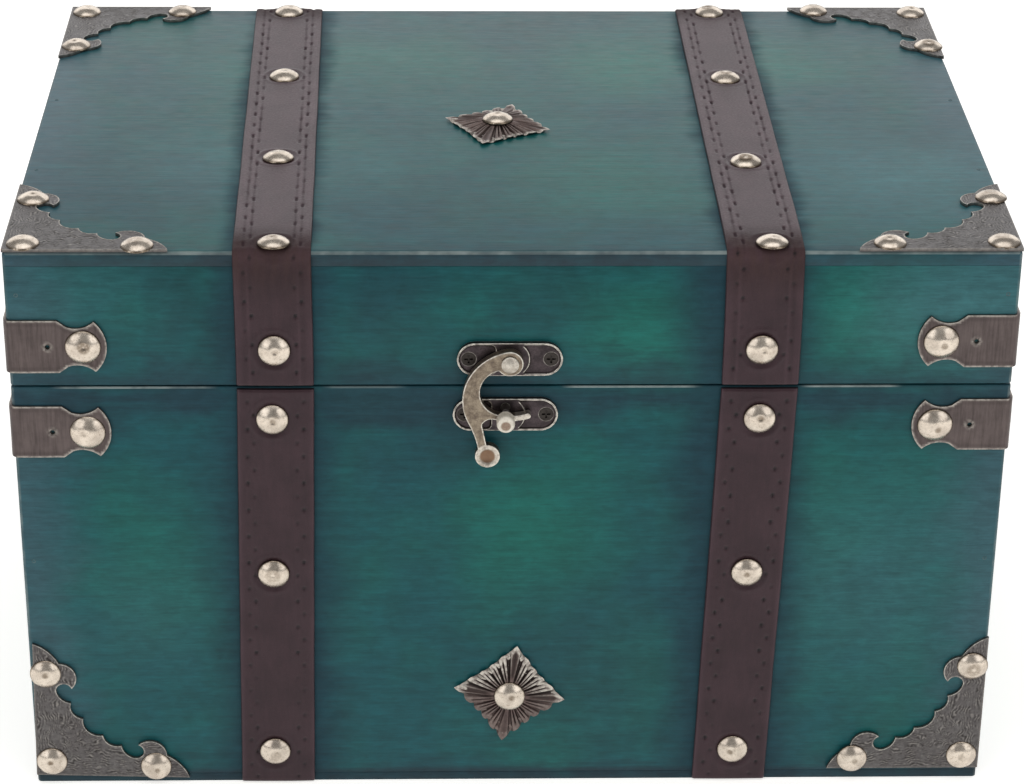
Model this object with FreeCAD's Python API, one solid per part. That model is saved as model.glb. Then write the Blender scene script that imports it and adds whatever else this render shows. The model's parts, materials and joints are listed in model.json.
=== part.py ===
import FreeCAD, Part
import math
import os

# A small trunk-style card box: nailed wooden base and hinged lid, leather straps, dome studs,
# pressed corner plates and wraps, star plates and a swing-hook latch.
# Millimetres. The origin is on the underside, in the middle of the plan: +X right, +Y back, +Z up.

# Closed box
WIDTH = 260.0
DEPTH = 180.0
BASE_HEIGHT = 122.0      # underside to the middle of the seam
LID_HEIGHT = 38.0        # middle of the seam to the top
SEAM_GAP = 0.4           # between the rims of base and lid
WALL = 6.0               # front, back and side boards
BOTTOM_T = 2.5
TOP_T = 4.0
EDGE_R = 1.2             # rounding of the outer edges

# Leather straps
STRAP_W = 20.0
STRAP_T = 1.2
STRAP_END = 0.4          # strap ends stop this far from a rim and from the underside
STRAP_SIDES = {
    # side of the box, inset of the centre line at the seam, sideways drift to the back and to the bottom
    "left": {"side": -1, "inset": 68.4, "top_drift": -2.5, "base_drift": -2.0},
    "right": {"side": 1, "inset": 65.8, "top_drift": -0.6, "base_drift": -3.4},
}
STUD_SHIFT = {
    # studs nailed off the strap's centre line: on the base's front, and at the fold over the top's edge
    "left": {"base": -0.8, "fold": 0.4},
    "right": {"base": 0.5, "fold": 1.7},
}

# Dome studs
STUD_R = 4.2
STUD_LIP = 0.3           # upright rim below the dome
STUD_RISE = 2.0
SHANK_R = 0.8
SHANK_COVER = 0.5        # wood left under the shank's tip in the top board
PILOT_CLEAR = 0.05       # round a shank, brad or screw
STUD_BELOW_SEAM = 9.1    # strap studs, up from the base's foot and out from the seam
STUD_MID_Z = 66.5
STUD_LOW_Z = 10.3
STUD_ABOVE_SEAM = 10.8
STUD_FRONT_INSET = 3.0   # strap studs on the top
STUD_BACK_INSET = 5.6
STUD_TOP_MIDS = {"left": (-30.6, 30.4), "right": (-33.4, 29.2)}

# Brads that nail the boards together
BRAD_R = 0.6
BRAD_LENGTH = 14.0
BRAD_BASE_Z = (30.0, 70.0)
BRAD_BELOW_SEAM = 13.0
BRAD_BELOW_TOP = 12.0
BRAD_TOP_Y = (-36.0, 15.0)
BRAD_BOTTOM_INSET = 40.0  # outer brads of the front and back boards, from the box's sides
BRAD_BOTTOM_Y = (-45.0, 45.0)

# Pressed corner plates: half of the outline, in shares of the leg, from the leg's tip to the diagonal
PLATE_T = 0.8
PLATE_LEG = 42.0
PLATE_TIP = (1.0, 0.0)
PLATE_LEAF = ((0.938, 0.102), (0.852, 0.165))
PLATE_CURL = ((0.788, 0.265), (0.667, 0.243))
PLATE_NOTCH = ((0.702, 0.188), (0.633, 0.145))
PLATE_FIRST_CUSP = ((0.582, 0.178), (0.557, 0.236))
PLATE_SECOND_CUSP = ((0.484, 0.243), (0.438, 0.312))
PLATE_MIDDLE = 0.342     # both ways to the middle scallop
PLATE_STUDS = ((4.8, 4.8), (33.6, 4.4), (4.4, 33.6))  # along the first and the second leg
PLATE_STUD_SHIFT = {
    # studs nailed off those places, each by so much along the two legs
    "front_corner_plate_left": ((-0.5, -0.3), (-0.8, -0.8), (-1.1, -1.0)),
    "front_corner_plate_right": ((-0.6, 0.0), (-0.7, -0.6), (-1.2, 1.5)),
    "top_corner_plate_front_left": ((0.3, -1.1), (0.6, -2.0), (0.2, -1.5)),
    "top_corner_plate_front_right": ((-0.6, -0.4), (-0.7, -1.2), (-0.9, 0.2)),
    "top_corner_plate_back_right": ((0.0, 0.0), (0.7, -1.3), (-0.9, 0.0)),
    "top_corner_plate_back_left": ((0.0, 0.0), (0.0, 0.0), (0.0, 0.0)),
}
PLATE_LIFT = {"left": (2.8, -1.6), "right": (3.6, 0.0)}  # above the underside, and tilt in degrees

# Wraps round the front upright edges
WRAP_T = 0.8
WRAP_H = 14.8
WRAP_BODY = 13.0         # full-height length of a leg
WRAP_SHOULDER = (15.4, 5.6)       # from the edge, half height
WRAP_NECK = (17.6, 5.2)
WRAP_FLARE = (22.4, 7.1)
WRAP_LENGTH = 25.5
WRAP_STUD = 19.4
WRAP_HOLE = (10.3, 0.7)  # empty nail hole: from the edge, radius
WRAP_FROM_SEAM = {"left": {"lid": 11.7, "base": -12.9}, "right": {"lid": 12.9, "base": -11.3}}

# Star plates
STAR_R = 15.2            # centre to a main point
STAR_LOBES = 20          # serrations round the edge, one at each main point
STAR_NOTCH = 0.93        # share of the edge's radius left between two lobes
STAR_RIM = 0.8
STAR_RISE = 2.2
STAR_TOP = (-2.6, -5.0, -17.0)    # x, y, turn in degrees
STAR_FRONT = (-0.1, 28.4, -7.5)   # x, z, turn in degrees

# Swing latch: depths are measured out from the front boards
LATCH_PLATE_L = 27.4
LATCH_PLATE_H = 9.3
LATCH_PLATE_T = 1.5
LATCH_RIM = 0.55
LATCH_POCKET = 0.4       # depth of the sunk ends
LATCH_BOSS_LEFT = 3.7    # middle left standing: straight on its left, round about the pivot on its right
LATCH_BOSS_R = 5.2
LATCH_POCKET_R = 1.3     # corners of the left pocket's inner end
LATCH_SCREW_HALF = 10.65
LATCH_X = -0.9
LATCH_ABOVE_SEAM = 8.2
CATCH_X = -1.95
CATCH_BELOW_SEAM = 7.8
HOOK_BACK = 1.7
HOOK_T = 2.6
HOOK_EYE_R = 3.45
HOOK_ARM = (1.9, -10.6)  # centre of the arm's outer curve, from the pivot
HOOK_SHOULDER = 207.0    # degrees on that curve, where the tail leaves it
HOOK_MOUTH_R = 6.6       # the arm's inner curve
HOOK_MOUTH_LOW = -98.0   # degrees about the pivot, where the inner curve runs into the claw
HOOK_THROAT = 214.0      # degrees round the eye, where the inner curve meets it
HOOK_CLAW_R = 15.0       # inner edge of the claw, about the pivot
HOOK_CLAW_T = 1.5
HOOK_TIP = -72.5         # degrees about the pivot
HOOK_HEEL = -104.0       # degrees about the pivot, where the claw leaves the arm
HOOK_CROTCH = (-7.2, -17.6)
HOOK_BALL = (-5.7, -26.8, 3.25)   # from the pivot, and radius
HOOK_TAIL = (140.0, 95.0)         # degrees round the ball, where the tail meets it
HOOK_DISH = (2.5, 0.5)   # hollow in the ball: radius, depth
HOOK_GAP = 0.2           # between the hook and the rivet's head
RIVET_R = 1.2
RIVET_HEAD_R = 2.3
RIVET_HEAD_T = 1.2
RIVET_RIM = 0.4          # upright part of its head
PIN_CLEAR = 0.05         # running fit of the rivet and the hinge pins
POST_NECK_R = 1.0
POST_GAP = 0.25          # between the claw and the post's neck, and behind the post's head
POST_HEAD_R = 2.4
POST_HEAD_T = 3.6
POST_HEAD_UP = -2.0      # middle of the head, up from the neck's middle
POST_ROUND = 0.9

# Screws of the latch and hinges
SCREW_R = 0.9
SCREW_HEAD_R = 1.9
SCREW_HEAD_T = 1.0
SCREW_LENGTH = 5.0
SCREW_SLOT = 0.5         # width and depth
SCREW_SLOT_L = 2.3

# Hinges on the back
HINGE_INSET = 35.0       # from the box's side to the middle of a hinge
HINGE_L = 26.0
HINGE_LEAF_H = 13.0
HINGE_LEAF_T = 1.0
HINGE_BARREL_R = 1.9
HINGE_PIN_R = 1.0
HINGE_PIN_OVER = 0.4     # past the barrel at each end
HINGE_MIDDLE = 9.0       # the lid leaf's knuckle
HINGE_PLAY = 0.3         # between knuckles, and between barrel and wood
HINGE_EAR_T = 1.2
HINGE_EAR_REACH = 6.0    # out from the pin
HINGE_OPEN = 100.0       # degrees at which the stop ears meet
HINGE_SCREW_HALF = 8.0
HINGE_SCREW_DROP = 8.0   # from the pin to the screws

HEIGHT = BASE_HEIGHT + LID_HEIGHT
BASE_RIM = BASE_HEIGHT - SEAM_GAP / 2
LID_RIM = BASE_HEIGHT + SEAM_GAP / 2
LID_WALL_TOP = HEIGHT - TOP_T
SHANK_LENGTH = TOP_T + PLATE_T - SHANK_COVER
HINGE_X = WIDTH / 2 - HINGE_INSET
PIN_Y = DEPTH / 2 + HINGE_BARREL_R + HINGE_PLAY

V = FreeCAD.Vector
X_DIR = V(1, 0, 0)
Y_DIR = V(0, 1, 0)
Z_DIR = V(0, 0, 1)


def frame(origin, across, up):
    """Placement of a face's own frame: x across, y up and z out of the face."""
    out = across.cross(up)
    return FreeCAD.Placement(FreeCAD.Matrix(
        across.x, up.x, out.x, origin.x,
        across.y, up.y, out.y, origin.y,
        across.z, up.z, out.z, origin.z,
        0, 0, 0, 1))


FRONT = frame(V(0, -DEPTH / 2, 0), X_DIR, Z_DIR)
BACK = frame(V(0, DEPTH / 2, 0), -X_DIR, Z_DIR)
TOP = frame(V(0, 0, HEIGHT), X_DIR, Y_DIR)
UNDERSIDE = frame(V(0, 0, 0), X_DIR, -Y_DIR)
LEFT = frame(V(-WIDTH / 2, 0, 0), -Y_DIR, Z_DIR)
RIGHT = frame(V(WIDTH / 2, 0, 0), Y_DIR, Z_DIR)


def on(face, shape, across, up, lift=0.0, turn=0.0):
    """A copy of a shape set on a face, lifted off it and turned about its normal."""
    spot = FreeCAD.Placement(V(across, up, lift), FreeCAD.Rotation(Z_DIR, turn))
    placed = shape.copy()
    placed.Placement = face.multiply(spot)
    return placed


def outline(start, steps):
    """Closed face from straight runs, each an end point, and arcs, each a middle and an end point."""
    edges = []
    here = V(*start)
    for step in steps:
        if isinstance(step[0], tuple):
            end = V(*step[1])
            edges.append(Part.Arc(here, V(*step[0]), end).toShape())
        else:
            end = V(*step)
            edges.append(Part.LineSegment(here, end).toShape())
        here = end
    return Part.Face(Part.Wire(edges))


def slab(start, steps, thickness):
    return outline(start, steps).extrude(V(0, 0, thickness))


def spun(points):
    """Solid turned about Z from (radius, z) points; a pair of points is an arc's middle and end."""
    def upright(p):
        return (p[0], 0, p[1])
    steps = [tuple(upright(q) for q in p) if isinstance(p[0], tuple) else upright(p) for p in points[1:]]
    face = outline(upright(points[0]), steps + [upright(points[0])])
    return face.revolve(V(0, 0, 0), Z_DIR, 360)


def single(shape):
    """The one solid in a shape, with faces in one plane joined."""
    solids = shape.removeSplitter().Solids
    if len(solids) != 1:
        raise ValueError(f"expected one solid, got {len(solids)}")
    return solids[0]


def bored(shape, tools):
    """A shape less the tools that reach it."""
    near = [tool for tool in tools if tool.BoundBox.intersect(shape.BoundBox)]
    return single(shape.cut(near)) if near else shape


def polar(radius, degrees, centre=(0.0, 0.0)):
    angle = math.radians(degrees)
    return (centre[0] + radius * math.cos(angle), centre[1] + radius * math.sin(angle))


# Boards

def board(low, high, round_edges):
    """Box between two corners, with the edges that a test picks rounded."""
    box = Part.makeBox(high[0] - low[0], high[1] - low[1], high[2] - low[2], V(*low))
    edges = [edge for edge in box.Edges if round_edges(edge)]
    return box.makeFillet(EDGE_R, edges) if edges else box


def is_upright(edge):
    return edge.BoundBox.ZLength > edge.BoundBox.XLength + edge.BoundBox.YLength


def outer_upright(edge):
    return is_upright(edge) and abs(edge.BoundBox.Center.y) > DEPTH / 2 - WALL / 2


def top_or_upright(edge):
    return is_upright(edge) or edge.BoundBox.Center.z > HEIGHT - TOP_T / 2


def no_edge(edge):
    return False


def walls(prefix, bottom, top):
    """Front and back boards of full width, with the side boards between them."""
    x = WIDTH / 2
    y = DEPTH / 2
    return {
        f"{prefix}_front_panel": board((-x, -y, bottom), (x, WALL - y, top), outer_upright),
        f"{prefix}_back_panel": board((-x, y - WALL, bottom), (x, y, top), outer_upright),
        f"{prefix}_left_panel": board((-x, WALL - y, bottom), (WALL - x, y - WALL, top), no_edge),
        f"{prefix}_right_panel": board((x - WALL, WALL - y, bottom), (x, y - WALL, top), no_edge),
    }


def boards():
    x = WIDTH / 2
    y = DEPTH / 2
    made = walls("base", BOTTOM_T, BASE_RIM)
    made["base_bottom_panel"] = board((-x, -y, 0), (x, y, BOTTOM_T), is_upright)
    made.update(walls("lid", LID_RIM, LID_WALL_TOP))
    made["lid_top_panel"] = board((-x, -y, LID_WALL_TOP), (x, y, HEIGHT), top_or_upright)
    return made


# Fasteners: each place is a face, two positions on it and the lift of what it goes through

def cap_sphere(radius, rise):
    """Radius of the sphere whose cap has this radius and rise."""
    return (radius ** 2 + rise ** 2) / (2 * rise)


def dome(radius, low, top):
    """Arc of a dome's section, from its rim at a low height to its top on the axis."""
    sphere = cap_sphere(radius, top - low)
    half_way = radius / 2
    return ((half_way, top - sphere + math.sqrt(sphere ** 2 - half_way ** 2)), (0, top))


def dome_stud():
    return spun([(0, -SHANK_LENGTH), (SHANK_R, -SHANK_LENGTH), (SHANK_R, 0),
                 (STUD_R, 0), (STUD_R, STUD_LIP), dome(STUD_R, STUD_LIP, STUD_RISE)])


def screw():
    """Countersunk screw with a cross slot, its head flush at z = 0."""
    body = spun([(0, -SCREW_LENGTH), (SCREW_R, -SCREW_LENGTH), (SCREW_R, -SCREW_HEAD_T),
                 (SCREW_HEAD_R, 0), (0, 0)])
    width = SCREW_SLOT
    length = SCREW_SLOT_L
    slot = Part.makeBox(length, width, width, V(-length / 2, -width / 2, -width))
    across = Part.makeBox(width, length, width, V(-width / 2, -length / 2, -width))
    return single(body.cut([slot, across]))


def pilot(radius, length):
    """Hole for a shank: a rod from z = -length to just past the head's seat."""
    return Part.makeCylinder(radius + PILOT_CLEAR, length + 2 * PILOT_CLEAR, V(0, 0, -length - PILOT_CLEAR))


def screw_hole():
    sunk = spun([(0, -SCREW_HEAD_T - PILOT_CLEAR), (SCREW_R, -SCREW_HEAD_T - PILOT_CLEAR),
                 (SCREW_HEAD_R, -PILOT_CLEAR), (SCREW_HEAD_R, SCREW_HEAD_T), (0, SCREW_HEAD_T)])
    return pilot(SCREW_R, SCREW_LENGTH).fuse(sunk)


def strap_line(name):
    """Centre lines of one strap: x at the seam, at the back and at the front's foot."""
    strap = STRAP_SIDES[name]
    seam = strap["side"] * (WIDTH / 2 - strap["inset"])
    return seam, seam + strap["top_drift"], seam + strap["base_drift"]


def strap_x(from_x, to_x, from_at, to_at, at):
    return from_x + (to_x - from_x) * (at - from_at) / (to_at - from_at)


def strap_stud_places():
    base = []
    lid = []
    heights = (STUD_LOW_Z, STUD_MID_Z, BASE_HEIGHT - STUD_BELOW_SEAM)
    for name in STRAP_SIDES:
        tops = (STUD_FRONT_INSET - DEPTH / 2, *STUD_TOP_MIDS[name], DEPTH / 2 - STUD_BACK_INSET)
        seam, back, foot = strap_line(name)
        shift = STUD_SHIFT[name]
        for z in heights:
            base.append((FRONT, strap_x(foot, seam, 0, BASE_HEIGHT, z) + shift["base"], z, STRAP_T))
            base.append((BACK, -back, z, STRAP_T))
        for y in tops:
            off = shift["fold"] if y == tops[0] else 0
            lid.append((TOP, strap_x(seam, back, -DEPTH / 2, DEPTH / 2, y) + off, y, STRAP_T))
        lid.append((FRONT, seam, BASE_HEIGHT + STUD_ABOVE_SEAM, STRAP_T))
        lid.append((BACK, -back, BASE_HEIGHT + STUD_ABOVE_SEAM, STRAP_T))
    return {"base_strap_studs": base, "lid_strap_studs": lid}


def wrap_stud_places():
    along_front = WIDTH / 2 - WRAP_STUD
    along_side = DEPTH / 2 - WRAP_STUD
    spots = {"left": ((FRONT, -along_front), (LEFT, along_side)),
             "right": ((FRONT, along_front), (RIGHT, -along_side))}
    places = {"base_wrap_studs": [], "lid_wrap_studs": []}
    for name, from_seam in WRAP_FROM_SEAM.items():
        for body, up in from_seam.items():
            group = places[f"{body}_wrap_studs"]
            group.extend((*spot, BASE_HEIGHT + up, WRAP_T) for spot in spots[name])
    return places


def corner_frames():
    """Frames at the plates' corners, both legs running inwards along x and y."""
    x = WIDTH / 2
    y = DEPTH / 2
    frames = {
        "top_corner_plate_front_left": frame(V(-x, -y, HEIGHT), X_DIR, Y_DIR),
        "top_corner_plate_front_right": frame(V(x, -y, HEIGHT), Y_DIR, -X_DIR),
        "top_corner_plate_back_right": frame(V(x, y, HEIGHT), -X_DIR, -Y_DIR),
        "top_corner_plate_back_left": frame(V(-x, y, HEIGHT), -Y_DIR, X_DIR),
    }
    for name, edges in (("left", (X_DIR, Z_DIR)), ("right", (Z_DIR, -X_DIR))):
        lift, tilt = PLATE_LIFT[name]
        corner = V(-x if name == "left" else x, -y, lift)
        tilted = FreeCAD.Placement(V(0, 0, 0), FreeCAD.Rotation(Z_DIR, tilt))
        frames[f"front_corner_plate_{name}"] = frame(corner, *edges).multiply(tilted)
    return frames


def plate_stud_places():
    places = {"front_corner_plate_studs": [], "top_corner_plate_studs": []}
    for name, corner in corner_frames().items():
        group = places[f"{name.split('_')[0]}_corner_plate_studs"]
        group.extend((corner, first + along, second + inwards, PLATE_T)
                     for (first, second), (along, inwards) in zip(PLATE_STUDS, PLATE_STUD_SHIFT[name]))
    return places


def star_stud_places():
    return {"front_star_stud": [(FRONT, *STAR_FRONT[:2], STAR_RISE)],
            "top_star_stud": [(TOP, *STAR_TOP[:2], STAR_RISE)]}


def brad_places():
    edge = WIDTH / 2 - WALL / 2
    outer = WIDTH / 2 - BRAD_BOTTOM_INSET
    heights = (*BRAD_BASE_Z, BASE_HEIGHT - BRAD_BELOW_SEAM)
    base = []
    lid = []
    for side in (-1, 1):
        for face in (FRONT, BACK):
            base.extend((face, side * edge, z, 0) for z in heights)
            lid.append((face, side * edge, HEIGHT - BRAD_BELOW_TOP, 0))
        base.extend((UNDERSIDE, side * edge, y, 0) for y in BRAD_BOTTOM_Y)
        base.extend((UNDERSIDE, x, side * (DEPTH / 2 - WALL / 2), 0) for x in (-outer, 0, outer))
        lid.extend((TOP, side * edge, y, 0) for y in BRAD_TOP_Y)
    return {"base_brads": base, "lid_brads": lid}


def latch_places():
    def pair(x, z):
        lift = LATCH_PLATE_T - LATCH_POCKET
        return [(FRONT, x + side * LATCH_SCREW_HALF, z, lift) for side in (-1, 1)]
    return {"latch_screws": pair(LATCH_X, BASE_HEIGHT + LATCH_ABOVE_SEAM),
            "catch_screws": pair(CATCH_X, BASE_HEIGHT - CATCH_BELOW_SEAM)}


def hinge_screw_places():
    places = {"hinge_base_screws": [], "hinge_lid_screws": []}
    for group, z in (("hinge_base_screws", BASE_HEIGHT - HINGE_SCREW_DROP),
                     ("hinge_lid_screws", BASE_HEIGHT + HINGE_SCREW_DROP)):
        for hinge in (-HINGE_X, HINGE_X):
            for x in (hinge - HINGE_SCREW_HALF, hinge + HINGE_SCREW_HALF):
                places[group].append((BACK, x, z, HINGE_LEAF_T))
    return places


def fasteners():
    """Groups of alike fasteners, and the tools that bore their holes."""
    stud_places = {**strap_stud_places(), **wrap_stud_places(), **plate_stud_places(), **star_stud_places()}
    brad = Part.makeCylinder(BRAD_R, BRAD_LENGTH, V(0, 0, -BRAD_LENGTH))
    kinds = (
        (stud_places, dome_stud(), pilot(SHANK_R, SHANK_LENGTH)),
        (brad_places(), brad, pilot(BRAD_R, BRAD_LENGTH)),
        ({**latch_places(), **hinge_screw_places()}, screw(), screw_hole()),
    )
    groups = {}
    tools = []
    for places, piece, hole in kinds:
        for name, spots in places.items():
            groups[name] = [on(face, piece, across, up, lift) for face, across, up, lift in spots]
            tools.extend(on(face, hole, across, up, lift) for face, across, up, lift in spots)
    return groups, tools


# Leather straps

def base_strap(face, top_x, foot_x):
    half = STRAP_W / 2
    low = STRAP_END
    high = BASE_RIM - STRAP_END
    corners = [(foot_x + half, low), (top_x + half, high), (top_x - half, high), (foot_x - half, low)]
    return on(face, slab(corners[-1], corners, STRAP_T), 0, 0)


def lid_strap(front_x, back_x):
    """One strip that folds over both edges of the top."""
    half = STRAP_W / 2
    low = LID_RIM + STRAP_END
    turn_z = HEIGHT - EDGE_R
    turn_y = DEPTH / 2 - EDGE_R
    outer = EDGE_R + STRAP_T

    def drop(side, x):
        def point(radius, degrees):
            y, z = polar(radius, degrees, (turn_y, turn_z))
            return (x - half, side * y, z)
        y_in = side * DEPTH / 2
        y_out = side * (DEPTH / 2 + STRAP_T)
        steps = [(x - half, y_out, turn_z), (point(outer, 45), point(outer, 90)), point(EDGE_R, 90),
                 (point(EDGE_R, 45), point(EDGE_R, 0)), (x - half, y_in, low), (x - half, y_out, low)]
        return outline((x - half, y_out, low), steps).extrude(V(STRAP_W, 0, 0))

    corners = [(front_x + half, -turn_y), (back_x + half, turn_y),
               (back_x - half, turn_y), (front_x - half, -turn_y)]
    run = on(TOP, slab(corners[-1], corners, STRAP_T), 0, 0)
    return single(run.fuse([drop(-1, front_x), drop(1, back_x)]))


def straps():
    made = {}
    for name in STRAP_SIDES:
        seam, back, foot = strap_line(name)
        made[f"base_strap_front_{name}"] = base_strap(FRONT, seam, foot)
        made[f"base_strap_back_{name}"] = base_strap(BACK, -back, -back)
        made[f"lid_strap_{name}"] = lid_strap(seam, back)
    return made


# Pressed metal

def corner_plate():
    """Plate in its own frame: the corner at the origin, a leg along x and a leg along y."""
    def sized(p):
        return (p[0] * PLATE_LEG, p[1] * PLATE_LEG)

    def swapped(p):
        return (p[1], p[0])

    arcs = [tuple(sized(p) for p in arc)
            for arc in (PLATE_LEAF, PLATE_CURL, PLATE_NOTCH, PLATE_FIRST_CUSP, PLATE_SECOND_CUSP)]
    ends = [sized(PLATE_TIP)] + [end for middle, end in arcs]
    middle = (PLATE_MIDDLE * PLATE_LEG, PLATE_MIDDLE * PLATE_LEG)
    there = [ends[0]] + arcs + [(middle, swapped(ends[-1]))]
    back = [(swapped(arc[0]), swapped(end)) for arc, end in zip(reversed(arcs), reversed(ends[:-1]))]
    return slab((0, 0), there + back + [(0, 0)], PLATE_T)


def wrap_leg():
    """Leg in its own frame: x from the box's edge, z out of the face, with its empty nail hole."""
    half = WRAP_H / 2

    def below(p):
        return (p[0], -p[1])
    steps = [(WRAP_BODY, -half), below(WRAP_SHOULDER), (below(WRAP_NECK), below(WRAP_FLARE)),
             ((WRAP_LENGTH, 0), WRAP_FLARE), (WRAP_NECK, WRAP_SHOULDER),
             (WRAP_BODY, half), (EDGE_R, half), (EDGE_R, -half)]
    hole = Part.makeCylinder(WRAP_HOLE[1], WRAP_T, V(WRAP_HOLE[0], 0, 0))
    return slab((EDGE_R, -half), steps, WRAP_T).cut(hole)


def wrap(side, z):
    """Bracket bent round a front upright edge: side -1 is left and 1 is right."""
    centre = (side * (WIDTH / 2 - EDGE_R), EDGE_R - DEPTH / 2)

    def point(radius, degrees):
        x, y = polar(radius, degrees)
        return (centre[0] + side * x, centre[1] - y)
    outer = EDGE_R + WRAP_T
    steps = [(point(outer, 45), point(outer, 90)), point(EDGE_R, 90), (point(EDGE_R, 45), point(EDGE_R, 0)),
             point(outer, 0)]
    bend = slab(point(outer, 0), steps, WRAP_H)
    bend.translate(V(0, 0, z - WRAP_H / 2))
    leg = wrap_leg()
    if side < 0:
        legs = [on(FRONT, leg, -WIDTH / 2, z), on(LEFT, leg, DEPTH / 2, z, turn=180)]
    else:
        legs = [on(FRONT, leg, WIDTH / 2, z, turn=180), on(RIGHT, leg, -DEPTH / 2, z)]
    return single(bend.fuse(legs))


def star():
    """Four-pointed plate with a serrated edge and a low domed face."""
    points = []
    for step in range(2 * STAR_LOBES):
        angle = 180.0 * step / STAR_LOBES
        x, y = polar(1.0, angle)
        radius = STAR_R / (abs(x) + abs(y))
        points.append(polar(radius * (STAR_NOTCH if step % 2 else 1.0), angle))
    blank = slab(points[-1], points, STAR_RISE)
    sphere = cap_sphere(STAR_R, STAR_RISE - STAR_RIM)
    return single(blank.common(Part.makeSphere(sphere, V(0, 0, STAR_RISE - sphere))))


def pressed_metal():
    made = {name: on(corner, corner_plate(), 0, 0) for name, corner in corner_frames().items()}
    for name, from_seam in WRAP_FROM_SEAM.items():
        for body, up in from_seam.items():
            made[f"{body}_wrap_{name}"] = wrap(-1 if name == "left" else 1, BASE_HEIGHT + up)
    made["front_star_plate"] = on(FRONT, star(), *STAR_FRONT[:2], turn=STAR_FRONT[2])
    made["top_star_plate"] = on(TOP, star(), *STAR_TOP[:2], turn=STAR_TOP[2])
    return made


# Swing latch

def stadium(length, height, thickness, centre=0.0):
    run = (length - height) / 2
    r = height / 2
    steps = [(centre + run, -r), ((centre + run + r, 0), (centre + run, r)), (centre - run, r),
             ((centre - run - r, 0), (centre - run, -r))]
    return slab((centre - run, -r), steps, thickness)


def latch_plate():
    """Round-ended plate with sunk ends and a middle left standing."""
    plate = stadium(LATCH_PLATE_L, LATCH_PLATE_H, LATCH_PLATE_T)
    floor = stadium(LATCH_PLATE_L - 2 * LATCH_RIM, LATCH_PLATE_H - 2 * LATCH_RIM, LATCH_POCKET)
    floor.translate(V(0, 0, LATCH_PLATE_T - LATCH_POCKET))
    bed = LATCH_PLATE_T - LATCH_POCKET
    half = LATCH_PLATE_L / 2
    left = floor.common(Part.makeBox(half - LATCH_BOSS_LEFT, LATCH_PLATE_H, LATCH_POCKET,
                                     V(-half, -LATCH_PLATE_H / 2, bed)))
    corners = [edge for edge in left.Edges
               if edge.BoundBox.ZLength > LATCH_POCKET / 2
               and abs(edge.BoundBox.Center.x + LATCH_BOSS_LEFT) < LATCH_POCKET_R / 2]
    left = left.makeFillet(LATCH_POCKET_R, corners)
    right = floor.common(Part.makeBox(half, LATCH_PLATE_H, LATCH_POCKET, V(0, -LATCH_PLATE_H / 2, bed)))
    right = right.cut(Part.makeCylinder(LATCH_BOSS_R, LATCH_POCKET, V(0, 0, bed)))
    return single(plate.cut([left, right]))


def leaving(start, heading, end):
    """Middle of the arc that leaves a point on a heading, in degrees, and ends at another point."""
    chord = math.hypot(end[0] - start[0], end[1] - start[1])
    way = math.degrees(math.atan2(end[1] - start[1], end[0] - start[0]))
    sagitta = chord / 2 * math.tan(math.radians(heading - way) / 2)
    return polar(sagitta, way + 90, ((start[0] + end[0]) / 2, (start[1] + end[1]) / 2))


def latch_hook():
    """Swing hook about its pivot: eye, C-shaped arm, claw under the post, tail with a dished ball."""
    eye = HOOK_EYE_R
    claw = HOOK_CLAW_R
    foot = claw + HOOK_CLAW_T
    ball_at = HOOK_BALL[:2]
    ball_r = HOOK_BALL[2]
    arm_r = math.hypot(*HOOK_ARM) + eye
    arm_top = polar(eye, math.degrees(math.atan2(-HOOK_ARM[1], -HOOK_ARM[0])))
    shoulder = polar(arm_r, HOOK_SHOULDER, HOOK_ARM)
    mouth_at = polar(claw - HOOK_MOUTH_R, HOOK_MOUTH_LOW)
    tail_left = polar(ball_r, HOOK_TAIL[0], ball_at)
    tail_right = polar(ball_r, HOOK_TAIL[1], ball_at)
    heel = polar(foot, HOOK_HEEL)
    tip_middle = polar((claw + foot) / 2, HOOK_TIP)
    tip = polar(HOOK_CLAW_T / 2, HOOK_TIP + 90, tip_middle)
    steps = [
        (polar(arm_r, (90 + HOOK_SHOULDER) / 2, HOOK_ARM), shoulder),
        (leaving(shoulder, HOOK_SHOULDER + 90, tail_left), tail_left),
        (polar(ball_r, 270, ball_at), tail_right),
        HOOK_CROTCH,
        (leaving(heel, HOOK_HEEL - 90, HOOK_CROTCH), heel),
        (polar(foot, -90), polar(foot, HOOK_TIP)),
        (tip, polar(claw, HOOK_TIP)),
        (polar(claw, (HOOK_TIP + HOOK_MOUTH_LOW) / 2), polar(claw, HOOK_MOUTH_LOW)),
        (polar(HOOK_MOUTH_R, 180, mouth_at), polar(eye, HOOK_THROAT)),
        (polar(eye, -45), arm_top),
    ]
    body = slab(arm_top, steps, HOOK_T)
    sphere = cap_sphere(*HOOK_DISH)
    hollow = Part.makeSphere(sphere, V(*ball_at, HOOK_T + sphere - HOOK_DISH[1]))
    bore = Part.makeCylinder(RIVET_R + PIN_CLEAR, HOOK_T)
    return single(body.cut([hollow, bore]))


def latch_rivet():
    seat = HOOK_BACK + HOOK_T + HOOK_GAP
    rim = seat + RIVET_RIM
    return spun([(0, 0), (RIVET_R, 0), (RIVET_R, seat), (RIVET_HEAD_R, seat), (RIVET_HEAD_R, rim),
                 dome(RIVET_HEAD_R, rim, seat + RIVET_HEAD_T)])


def post_up():
    """Height of the post's neck over the catch plate's middle: it clears the claw by the post's gap."""
    reach = HOOK_CLAW_R - POST_GAP - POST_NECK_R
    return LATCH_ABOVE_SEAM - reach + CATCH_BELOW_SEAM


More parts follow.
